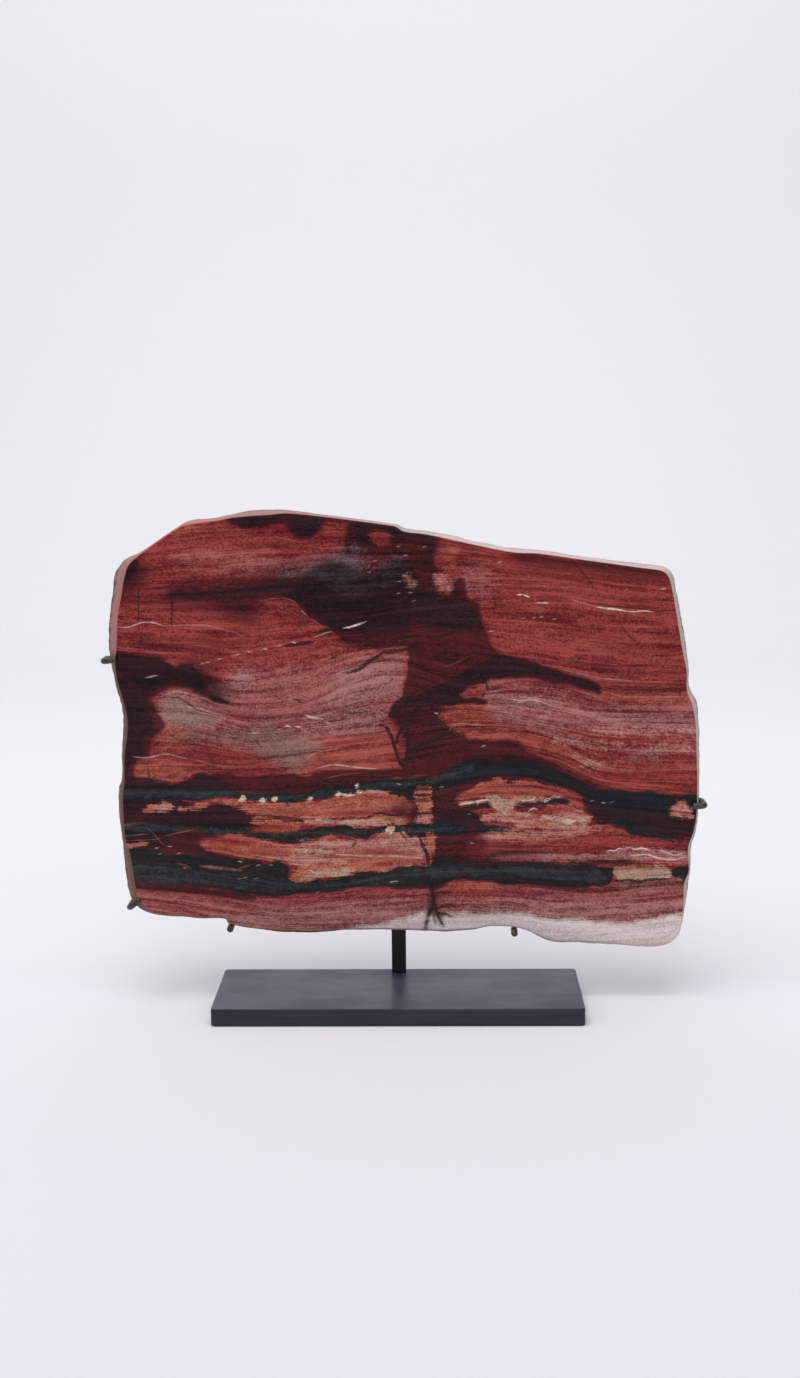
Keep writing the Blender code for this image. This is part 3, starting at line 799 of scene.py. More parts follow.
CORE = [
    [(-104, 146), (-70, 145.4), (-50, 148.4), (-30, 150), (-12, 153), (8, 154), (25, 156.4), (38, 161),
     (52, 166), (50, 162.5), (36, 158), (22, 153), (6, 149.5), (-12, 148.6), (-32, 147), (-48, 145),
     (-70, 142.4), (-104, 143)],
    [(-190, 149), (-150, 147.6), (-110, 147), (-110, 144), (-150, 144), (-190, 145.6)],
    [(-190, 124.6), (-150, 123.6), (-104, 119.6), (-60, 118.8), (-30, 119.6), (-8, 121), (30, 121.6),
     (60, 120), (30, 118), (-6, 119), (-30, 117.4), (-60, 115.6), (-100, 117), (-150, 120.4),
     (-190, 121.6)],
    [(-186, 95), (-150, 93), (-116, 89), (-84, 85), (-50, 82.4), (-20, 86), (4, 89.6), (28, 92),
     (60, 92.6), (100, 92), (140, 90), (143, 84.4), (112, 85.4), (70, 87.4), (30, 87), (0, 84), (-40, 79),
     (-84, 77.6), (-120, 80.6), (-150, 83.4), (-186, 86)],
]
store_layer("black", BLACK)
store_layer("core", CORE)

# %% [markdown]
# Between the black beds lie the brightest lenses: ember orange, with streaks of rose, crimson
# and garnet, patches the colour of sand, and a few cream teeth that bite into the black. These
# are small and most are sharp, so they come last and cover what is under them.

# %% Bright lenses
EMBER = [
    [(-151, 134.5), (-146, 137), (-137, 139.4), (-130, 141.4), (-124, 142.4), (-115, 141.8), (-108, 141),
     (-97, 140), (-85, 139.6), (-75, 138.8), (-62, 140.6), (-50, 141.6), (-44, 143.4), (-34, 144.6),
     (-27, 146.6), (-15, 147), (-6, 146), (0, 143.8), (6, 141), (9.6, 136), (7, 132.6), (0, 132),
     (-4, 131.6), (-12, 132.6), (-20, 130.6), (-30, 129.8), (-45, 129.4), (-60, 128.4), (-80, 131),
     (-95, 131.4), (-104, 133), (-112, 136.8), (-118, 138.8), (-125, 139.6), (-134, 136.6),
     (-142, 135.2)],
    [(-36, 125), (-28, 122.6), (-18, 122.4), (-8, 123.6), (4, 124), (7, 127), (6, 130.6), (-2, 129.4),
     (-12, 130.6), (-20, 128.6), (-32, 127.4)],
    [(-101, 126.6), (-95, 128), (-85, 127), (-75, 126), (-68, 124.6), (-69, 121), (-80, 119.6),
     (-90, 121), (-98, 124)],
    [(-66, 126.6), (-56, 127), (-50, 125.6), (-58, 124.8)],
    [(-176, 134.4), (-170, 138.8), (-164, 138), (-162, 139.4), (-157, 138.4), (-156, 134), (-162, 135.6),
     (-168, 133.4)],
    [(-190, 107.4), (-190, 111), (-181, 111.4), (-173.5, 112.2), (-177, 109.6), (-182, 108.6)],
    [(-134, 107.6), (-137, 110.6), (-133, 114), (-124, 114.6), (-115, 117), (-100, 114), (-88, 112),
     (-76, 110), (-66, 110.5), (-60, 112.6), (-50, 115.6), (-45, 115.8), (-35, 113), (-30, 113),
     (-21, 112), (-17, 116), (-8, 118), (2, 117), (10, 114), (18, 114), (20, 107), (22, 103), (22, 96),
     (10, 95.4), (0, 94.6), (-10, 91.8), (-28, 91.2), (-37, 88), (-46, 86.4), (-52, 85.2), (-62, 84.4),
     (-66, 82.6), (-76, 87), (-72, 90), (-69.6, 95), (-74, 98), (-82, 99.6), (-90, 98), (-96, 100),
     (-102, 99.6), (-112, 101.6), (-122, 104.8)],
    [(12, 150), (22, 150.6), (23, 146), (23.4, 138), (23, 132), (22.6, 127), (18, 124.4), (14.6, 126),
     (13.6, 131), (13, 136), (12, 143)],
    [(20, 116.6), (25, 117), (25.2, 108), (24, 104), (22.4, 101), (20.6, 106)],
    [(40, 141), (44, 144.6), (50, 148), (55, 151), (60, 152.6), (65, 155), (70, 155.6), (74, 154),
     (76, 151), (80, 153), (88, 154.6), (95, 153), (102, 150), (111, 147.6), (122, 145), (122, 142.4),
     (110, 143), (98, 142.6), (84, 142), (70, 143), (58, 141.6)],
    [(57, 127), (64, 133), (74, 132.4), (80, 133.6), (92, 132.4), (98, 133.8), (104, 137), (110, 137.4),
     (118, 136.4), (125, 134.4), (131, 130), (133.4, 128.6), (131, 125.4), (127, 122.6), (118, 121.6),
     (104, 122.4), (92, 121.6), (84, 120.8), (78, 124.8), (66, 126)],
    [(187, 130.6), (190.6, 137), (193, 139.6), (196, 139.6), (198.4, 137), (201, 133.4), (202.4, 127.6),
     (195, 129.6)],
]
ROSE = [
    [(58, 106), (80, 109), (110, 109.6), (136, 112), (110, 107.6), (80, 106)],
    [(56, 114), (66, 117.4), (84, 118.6), (104, 119.4), (126, 121.6), (140, 120.4), (126, 117.6),
     (104, 115), (80, 113.6)],
    [(138, 101), (150, 106.4), (166, 107.6), (184, 106), (199, 101.6), (196, 98.6), (184, 99),
     (160, 99.6)],
    [(110, 99.4), (124, 101.6), (140, 101), (134, 98.8), (120, 98.4)],
    [(64, 101), (90, 103.4), (120, 102), (90, 99.8)],
    [(120, 171.6), (140, 165.6), (160, 163.4), (204, 164), (204, 161.4), (150, 160.8), (130, 165)],
    [(100, 186), (130, 182), (160, 178.4), (204, 177.6), (204, 175), (160, 175.6), (130, 178)],
    [(130, 193), (160, 190.4), (204, 190), (204, 186.6), (160, 187), (134, 189)],
    [(-70, 110), (-56, 113), (-40, 113), (-18, 113), (-5, 117), (8, 114), (18, 112), (21, 104), (0, 104),
     (-26, 107), (-50, 104), (-66, 103)],
    [(60, 127), (66, 131.4), (76, 131.6), (92, 130), (98, 127), (92, 123), (82, 122), (74, 126)],
    [(103, 127), (112, 134), (124, 132.6), (129, 128), (120, 124), (110, 123)],
    [(-166, 137.6), (-158, 138), (-157, 135), (-166, 135)],
    [(-80, 100), (-66, 103), (-50, 101), (-30, 99), (-40, 96), (-66, 96)],
    [(189, 131), (193, 138), (197, 138), (201, 130)],
    [(14, 126), (14.6, 131), (21, 131), (21, 126)],
    [(0, 98), (8, 101), (19, 101), (19, 97)],
    [(26.4, 296.4), (28.6, 294.6), (31, 297.4), (34, 294.4), (32.6, 290.6), (36.6, 287), (34.4, 283.6),
     (32.8, 286.4), (30.6, 284.8), (30.4, 289.4), (27.6, 291.4)],
    [(5.2, 295.6), (7, 296.4), (10, 293.4), (12.6, 289.8), (9.2, 289.2), (6.6, 291.6)],
]
CRIMSON = [
    [(-138, 112), (-128, 115), (-112, 116.4), (-98, 113), (-104, 109), (-124, 107)],
    [(140, 164), (160, 167), (204, 165), (204, 158), (160, 156), (146, 158)],
    [(0.4, 172), (0.8, 180), (3.4, 186.8), (5.6, 184), (5.8, 176), (4.4, 170.4), (2, 169.6)],
    [(-15, 325), (-6, 325), (-3, 319), (-9, 315.6), (-16, 319)],
    [(24, 74), (31, 75), (38, 76.4), (42, 80), (34, 80), (27, 77)],
    [(-34, 101), (-20, 105), (-8, 106), (4, 105), (4, 102.4), (-14, 101)],
    [(-104, 122), (-90, 124), (-74, 123), (-72, 120.6), (-88, 119.6)],
    [(43, 142), (50, 147), (64, 151.6), (80, 151), (96, 151), (112, 147.6), (122, 144.6), (122, 142.8),
     (108, 143), (84, 143), (62, 143.4)],
    [(93, 130.4), (100, 134.6), (112, 136.6), (124, 134), (114, 133.4), (104, 130)],
    [(140, 106), (150, 108.6), (170, 109), (188, 106.4), (198, 105), (199, 108), (198, 112), (190, 111),
     (180, 113), (166, 114), (150, 112)],
    [(50, 100), (48, 108), (50, 112), (60, 112.6), (80, 110.6), (104, 111), (126, 114), (142, 117),
     (150, 113), (146, 107), (134, 103), (110, 103.6), (70, 102)],
    [(-50, 132), (-30, 134), (-8, 134), (4, 135), (2, 132.6), (-16, 132.8), (-36, 130.8)],
    [(-84, 133), (-70, 133.6), (-56, 132), (-66, 130.6)],
    [(-100, 104), (-84, 103), (-76, 104.6), (-90, 106.6), (-104, 107)],
]
GARNET = [
    [(-4, 134), (2, 140), (9, 140), (11, 134), (9, 126), (4, 126)],
    [(62, 104), (72, 108), (90, 106), (100, 103), (84, 100), (66, 100)],
    [(-165, 105), (-160, 112), (-150, 119.6), (-136, 121), (-133, 116), (-137, 110), (-135, 106),
     (-146, 104)],
    [(45, 99), (47, 112), (46, 124), (52, 124), (58, 117), (61, 105), (59, 98)],
    [(-120, 154.6), (-110, 158), (-80, 157), (-54, 156), (-56, 151.4), (-100, 150.6)],
    [(10, 246), (20, 249), (40, 256), (57, 262), (60, 252), (50, 244), (30, 240), (12, 240)],
    [(12, 160), (28, 172), (46, 179), (70, 178), (84, 176), (70, 172), (50, 172), (34, 164), (20, 157)],
]
SAND = [
    [(42, 137.8), (46, 140), (54, 140.8), (58, 142.8), (66, 143.8), (72, 142.4), (78, 141.4), (84, 142.4),
     (94, 142.2), (95, 140), (84, 139.6), (80, 138.4), (80, 135.6), (76, 133.2), (71, 132.6), (67.4, 134),
     (65, 137.6), (62, 140), (54, 138.8), (46, 137.4)],
    [(96, 141), (102, 142.6), (108, 143.6), (112.6, 143.4), (106, 141.4)],
    [(149.6, 84.8), (149.4, 92.6), (158, 93.6), (168, 93), (178, 94), (186, 93.4), (187.6, 88),
     (186, 85.4), (172, 84.8), (160, 84.4)],
    [(-64, 127), (-50, 127.4), (-36, 128), (-22, 127.6), (-8, 126.6), (4, 127.6), (-10, 124.4),
     (-30, 124), (-50, 126)],
    [(-68, 84), (-60, 90), (-46, 92), (-36, 93), (-30, 91.4), (-40, 88.6), (-54, 86), (-62, 84.8)],
    [(-66, 104), (-58, 106.6), (-44, 104.6), (-50, 102)],
    [(98, 126), (100, 129.6), (104, 130.6), (106, 127), (101.6, 124.4)],
    [(104, 123), (114, 127.6), (122, 128.6), (131.6, 128.6), (131, 126), (126, 123.6), (122, 125),
     (112, 122.4)],
]
CREAM = [
    [(-110.4, 140.6), (-108.6, 142.6), (-106.6, 145.8), (-105, 144.8), (-104.4, 141.4), (-107, 140.4)],
    [(-94.6, 140.4), (-92.6, 143.2), (-91, 142.2), (-91.2, 140.2)],
    [(-86.6, 140.6), (-85, 143.6), (-83.2, 142), (-83.4, 140)],
    [(-61.4, 141.2), (-60, 143.6), (-58.8, 143.2), (-59, 141)],
    [(-43.6, 144.8), (-42, 147), (-39.6, 146.4), (-39.6, 144.4)],
    [(-27.8, 145.8), (-27.2, 148.6), (-25.2, 148), (-23, 146.2), (-25.4, 145.2)],
    [(-28.8, 150), (-28, 152.6), (-26.8, 152.4), (-27.4, 150)],
    [(-7.4, 119.2), (-7.2, 123.2), (-2.8, 123.6), (-2.6, 119.8), (-4.6, 118.2)],
    [(84, 140.4), (88, 142), (93.6, 141.6), (92, 140.2)],
    [(112, 125), (118, 127.6), (124, 126.8), (118, 124)],
    [(98, 139.6), (101, 141), (105, 141.4), (102, 139.6)],
]
for name, outlines in (("ember", EMBER), ("rose", ROSE), ("crimson", CRIMSON), ("garnet", GARNET),
                       ("sand", SAND), ("cream", CREAM)):
    store_layer(name, outlines)

# %% [markdown]
# Last come the fine lines. Quartz filled hair-thin gaps in the stone and left pale veins, and
# small bubbles in it left flecks. Each line is a few points on the face with a width in mm and
# a strength. A fleck is a line so short that it reads as a dot, and one old crack is healed
# only here and there, so its dashes come from one curve with a simple rhythm of long and short.

# %% Pale veins and flecks
# Each vein: points on the face, width in mm and strength.
PALE_LINES = [
    ([(118, 279), (124, 277), (130.5, 275), (137, 273.5)], 0.8, 0.7),
    ([(136, 273.6), (140, 272.8), (150, 271.7), (155, 270.8)], 1.5, 1.0),
    ([(155, 270.8), (161, 270.2), (167, 270.8), (173, 270)], 1.0, 0.9),
    ([(82, 282), (85, 282.4)], 1.6, 1.0),
    ([(86, 282), (89.8, 280.6)], 1.3, 1.0),
    ([(85, 282.4), (95, 278), (102.5, 276.5)], 0.5, 0.6),
    ([(95, 276.5), (102.5, 276.6)], 1.4, 1.0),
    ([(113, 252.5), (120, 252)], 0.8, 0.6),
    ([(118, 249), (130, 247)], 0.9, 0.6),
    ([(110, 238), (125, 237), (138, 235.5), (150, 234)], 1.0, 0.5),
    ([(170, 249.5), (195, 249.7)], 0.9, 0.5),
    ([(150, 258), (190, 256)], 0.7, 0.35),
    ([(-190, 262), (-183, 261.5), (-177, 263.5), (-172, 265), (-165, 264.8), (-158, 262.5)], 1.1, 0.8),
    ([(-158, 262.5), (-150, 262.5), (-140, 263), (-130, 262.8), (-122, 261), (-113, 258.5)], 0.9, 0.68),
    ([(-113, 258.5), (-108, 257), (-105, 254.5)], 1.6, 0.6),
    ([(-35.5, 260.3), (-31, 261), (-28, 262), (-21, 264.2)], 1.7, 1.0),
    ([(-57, 253.5), (-52, 255.5), (-48, 257), (-44, 258)], 1.0, 0.75),
    ([(-75, 222), (-80, 210)], 1.0, 0.6),
    ([(-62.5, 200.5), (-58, 198.8), (-51, 198)], 1.6, 0.85),
    ([(-82, 190.6), (-79.5, 191.2)], 1.2, 0.85),
    ([(-77, 192.4), (-75, 193.4), (-73, 192.6)], 1.3, 0.9),
    ([(-70, 192.6), (-66, 192.4)], 1.3, 1.0),
    ([(-99.6, 188.2), (-96, 189)], 1.7, 0.75),
    ([(-49.5, 195.5), (-46.5, 195.5)], 1.2, 0.9),
    ([(-70.5, 250.7), (-68.9, 250.7)], 1.8, 1.0),
    ([(-128, 304.5), (-112, 304.8), (-97, 304.4)], 0.9, 0.5),
    ([(-122, 327.6), (-97, 327.2)], 0.9, 0.5),
    ([(-82, 323), (-70, 320), (-60, 318)], 0.9, 0.6),
    ([(-58, 315.5), (-50, 314.8), (-49, 313)], 1.4, 0.6),
    ([(-181, 172), (-172, 171.5), (-165, 173), (-157, 174), (-152, 172.5), (-145, 171)], 1.3, 0.75),
    ([(-145, 171), (-137, 169.5), (-128, 167), (-120, 165), (-97, 165)], 1.1, 0.6),
    ([(-181, 165.5), (-172, 166), (-165, 167.5), (-150, 167), (-130, 165)], 1.0, 0.6),
    ([(-183, 161), (-160, 162.5), (-140, 161.5), (-120, 162.6)], 0.8, 0.5),
    ([(-56, 163.5), (-44, 166), (-27, 164), (-14, 163)], 1.1, 0.8),
    ([(-62, 170), (-57, 174), (-48, 176), (-40, 177.5)], 1.0, 0.7),
    ([(-54, 168), (-40, 170), (-24, 169), (-8, 170)], 0.8, 0.55),
    ([(107, 183), (122, 179.5)], 0.9, 0.55),
    ([(135, 177), (160, 174.5), (185, 174)], 0.8, 0.4),
    ([(120, 170), (127, 167.5), (133, 165.5), (140, 164), (147, 162.5), (155, 161.5)], 1.1, 0.65),
    ([(155, 161.5), (170, 160.4), (183, 161.5), (204, 161.5)], 1.0, 0.6),
    ([(158, 169), (180, 168), (202, 168)], 0.9, 0.5),
    ([(143, 151), (150, 149.6), (160, 149.3), (170, 148.6), (180, 147.4), (190, 145.8),
      (204, 144.4)], 1.2, 0.5),
    ([(150, 155), (170, 154), (203, 152)], 0.9, 0.5),
    ([(110, 231.5), (118, 229.8), (128, 227.3), (140, 224.9), (160, 223)], 1.0, 0.7),
    ([(138, 216.6), (145, 214.5), (155, 212.2), (175, 211.8), (198, 212)], 1.3, 0.65),
    ([(145, 206.5), (165, 205), (202, 204.5)], 0.8, 0.5),
    ([(75, 211.5), (84, 210), (92, 210.5), (104, 207)], 1.1, 0.8),
    ([(82, 208.7), (85, 208.8)], 1.6, 0.8),
    ([(63, 203.4), (70, 199.6), (85, 196), (100, 193), (111, 191), (135, 186.5)], 1.1, 0.65),
    ([(107, 205.5), (122, 202), (137, 197), (150, 194.5), (170, 193), (203, 193)], 1.2, 0.65),
    ([(142, 188.5), (170, 185.6), (203, 186)], 0.9, 0.55),
    ([(-170.5, 227), (-164, 228.6)], 1.4, 0.8),
    ([(-160, 214.6), (-153, 217), (-145, 216.4)], 1.4, 0.7),
    ([(-190, 116.5), (-172, 118)], 0.8, 0.6),
    ([(-190, 113.4), (-176, 113.6), (-163, 114.5)], 0.9, 0.6),
    ([(-173, 122), (-168, 117), (-164, 112), (-160, 109)], 0.7, 0.6),
    ([(-162, 116), (-155, 118), (-142, 120.5)], 0.8, 0.6),
    ([(-190, 109), (-180, 110), (-173, 112)], 2.2, 0.6),
    ([(-137, 94.8), (-130, 94.4), (-122, 93.4), (-109, 91.8)], 2.8, 0.62),
    ([(-112, 92.4), (-106, 94.6), (-102, 95.6)], 1.5, 0.5),
    ([(-154, 97), (-148, 95.6), (-144, 93.6)], 1.8, 0.45),
    ([(46, 143.6), (60, 147), (75, 148), (95, 147.4), (116, 144.4)], 1.2, 0.6),
    ([(50, 146.6), (62, 150.6), (76, 151)], 1.0, 0.5),
    ([(80, 151.4), (96, 151.6), (110, 148.4)], 1.0, 0.5),
    ([(60, 112), (80, 111.6), (100, 112.4), (120, 115), (140, 119)], 1.3, 0.6),
    ([(70, 116), (90, 115.4), (110, 117), (130, 119.6)], 1.2, 0.6),
    ([(60, 107), (85, 106), (110, 107.6)], 1.0, 0.4),
    ([(-76, 246), (-84, 252), (-90, 258)], 1.0, 0.4),
    ([(-74, 252), (-80, 258), (-84, 264)], 1.0, 0.35),
    ([(-78, 241), (-86, 245)], 1.0, 0.35),
    ([(-72, 241), (-74, 235)], 1.0, 0.35),
    ([(-54, 245), (-44, 241), (-30, 240)], 1.0, 0.35),
    ([(-56, 240), (-46, 236)], 1.0, 0.35),
    ([(-100, 214), (-86, 208), (-72, 206)], 1.0, 0.35),
    ([(-94, 206), (-80, 201), (-66, 200)], 1.0, 0.35),
    ([(-130, 207), (-116, 200), (-104, 195)], 1.0, 0.45),
    ([(-134, 203), (-122, 197), (-110, 192)], 1.0, 0.4),
    ([(-142, 213), (-132, 208), (-124, 205)], 1.2, 0.4),
    ([(33, 233.6), (40, 236), (48, 240)], 1.2, 0.3),
    ([(-150, 135), (-137, 139), (-124, 141.6), (-115, 140.6), (-100, 138.6)], 1.6, 0.5),
    ([(-190, 124), (-175, 126)], 2.2, 0.35),
    ([(-43, 144.6), (-38, 145.2), (-34, 144.4), (-30, 145)], 2.0, 0.85),
    ([(-24, 146.8), (-15, 147.4), (-7, 146.2)], 1.8, 0.72),
    ([(-52, 156), (-45, 157.5), (-38, 159), (-25, 160.5)], 0.9, 0.5),
    ([(-3, 156.5), (3, 156.8)], 1.5, 0.55),
    ([(12, 158), (20, 158.8)], 1.4, 0.35),
    ([(143, 103.6), (146, 105.2), (149, 104.6), (152, 106.6), (155, 106)], 1.1, 0.95),
    ([(156, 106.2), (159, 107.2), (163, 105.8), (168, 106.6), (174, 105)], 1.1, 0.9),
    ([(146, 100.6), (151, 101.8), (155.4, 101.2), (161, 102.6)], 0.8, 0.65),
    ([(156, 110), (160, 108.6)], 0.8, 0.6),
    ([(176, 105.6), (182, 104.6), (190, 101.6), (196, 103)], 1.1, 0.9),
    ([(124, 101), (130, 102.6), (136, 101.4)], 1.0, 0.7),
    ([(150, 111), (164, 112), (180, 110)], 0.9, 0.55),
    ([(160, 101.5), (172, 102), (178, 100), (190, 98.5), (196, 100)], 1.2, 0.9),
    ([(148, 109.6), (153, 110.6)], 0.8, 0.5),
    ([(159, 103.6), (163, 104.4)], 0.8, 0.5),
    ([(190, 103), (197, 103.6)], 1.4, 0.65),
    ([(107, 77), (120, 75), (130, 74.5), (145, 75), (160, 76), (190, 79.5)], 1.0, 0.5),
    ([(-57, 52), (-48, 57), (-39, 62)], 0.8, 0.55),
    ([(-53, 62), (-46, 57.5), (-38, 54)], 0.8, 0.5),
    ([(-125, 62), (-110, 64.6), (-97, 65.6)], 1.0, 0.4),
    ([(-108, 68), (-80, 67), (-60, 68.5)], 0.8, 0.3),
    ([(36, 190.4), (38, 193), (42, 194.2), (50, 193.6), (60, 193)], 1.0, 0.7),
    ([(39, 187.5), (42, 189), (43.5, 187)], 1.3, 0.6),
    ([(48, 187), (54, 188.5), (62, 186.5)], 1.0, 0.5),
    ([(-92, 279), (-86, 280.4), (-80, 280.9)], 0.8, 0.6),
    ([(-77, 281), (-71, 279.6), (-66.6, 276.4)], 0.9, 0.6),
    ([(-64.5, 273), (-60.4, 268.9)], 0.9, 0.7),
    ([(-57, 266.6), (-51, 262.2), (-45.5, 260.6)], 0.8, 0.6),
    ([(-68, 246), (-66, 241), (-66.5, 237)], 0.9, 0.5),
    ([(-64, 246), (-60, 241), (-58, 237)], 0.9, 0.5),
    ([(-150, 313), (-128, 314.5), (-100, 313)], 0.8, 0.3),
    ([(-165, 299), (-140, 300), (-120, 298.6)], 0.8, 0.3),
    ([(-170, 252), (-150, 251), (-128, 252)], 0.7, 0.35),
    ([(43, 138), (52, 139.4), (62, 141.4)], 1.4, 0.9),
    ([(76, 135), (80, 137.2), (88, 136)], 1.0, 0.5),
    ([(90, 133), (93, 135), (96, 134)], 1.3, 0.85),
    ([(100, 130), (104, 127.6), (108, 128.6)], 1.3, 0.85),
    ([(60, 130), (74, 128), (88, 128.6)], 0.9, 0.5),
    ([(110, 127), (118, 129.4), (128, 127)], 1.2, 0.8),
    ([(-50, 126.4), (-42, 126.8), (-35, 126.2)], 1.2, 0.6),
    ([(-101, 103), (-84, 100.6), (-66, 101.4), (-50, 99.8)], 1.6, 0.7),
    ([(-44, 103), (-20, 101.8), (2, 101.5), (18, 100)], 2.0, 0.75),
    ([(-40, 97.6), (-20, 96.4), (0, 98.6)], 1.2, 0.5),
    ([(-60, 106.5), (-40, 108.6), (-20, 106.6), (0, 107.5)], 1.1, 0.45),
]
# Each fleck: x, z and size in mm.
FLECKS = [
    (6.5, 309, 1.2), (10, 284, 1.1), (12, 278.5, 0.9), (19.5, 315, 0.9), (2, 315.5, 0.9),
    (-14, 305.5, 1.2), (-18, 298, 1.1), (2, 291.5, 1.2), (1.5, 283.5, 0.9), (6, 295.6, 1.0),
    (70, 304, 1.3), (86, 266, 1.1), (93, 266.4, 1.1), (98, 267, 1.2), (107, 265.5, 1.2),
    (64.5, 257.5, 1.4), (180, 285.5, 1.8), (155, 285, 1.1), (-141.5, 206, 1.2), (-126, 200, 1.2),
    (133, 140, 1.1), (141, 138.5, 1.2), (147, 139, 1.1), (59, 178.5, 1.7), (-28, 151, 1.5),
    (-167, 108, 1.4), (-158, 109, 1.4), (-152, 104, 1.2), (-109.5, 98, 1.5), (-110, 86, 1.2),
    (-106, 86.5, 1.1), (-88, 95.5, 1.4), (-97, 95.5, 1.3), (-98, 86, 1.2), (-60.5, 91.5, 1.6),
    (-56, 76, 1.2), (-4.5, 83.3, 1.5), (-1.5, 83.5, 1.4), (-148, 93.5, 1.2), (-165, 103.5, 1.3),
    (27, 201.4, 1.3), (1, 152.2, 1.6), (49, 131, 1.0), (30, 150, 1.2), (51, 110.5, 1.3),
]
FLECK_STRENGTH = 0.9
DOTTED_CRACK = [(-138, 235), (-125, 238.5), (-113, 241.3), (-101, 244.3), (-90, 246), (-76, 249.5)]
DASH_STEP, DASH_WIDTH = 4.4, 1.4

for x, z, size in FLECKS:
    PALE_LINES.append(([(x - size * 0.4, z), (x + size * 0.4, z + 0.2)], size, FLECK_STRENGTH))
dots = smooth(DOTTED_CRACK, closed=False, step=DASH_STEP)
for k, (a, b) in enumerate(zip(dots, dots[1:])):
    dash = [tuple(a), tuple(a + (b - a) * (0.2 + 0.14 * (k * 3 % 5)))]
    PALE_LINES.append((dash, DASH_WIDTH, 0.5 + 0.1 * (k * 2 % 5)))
print("pale lines:", len(PALE_LINES))

# %% [markdown]
# Dark lines are cracks that iron has filled. Some cut straight across the beds and some run
# along them. Two bundles, one in the middle of the slab and one near its foot, branch like
# roots, and there each branch is simply a line of its own.

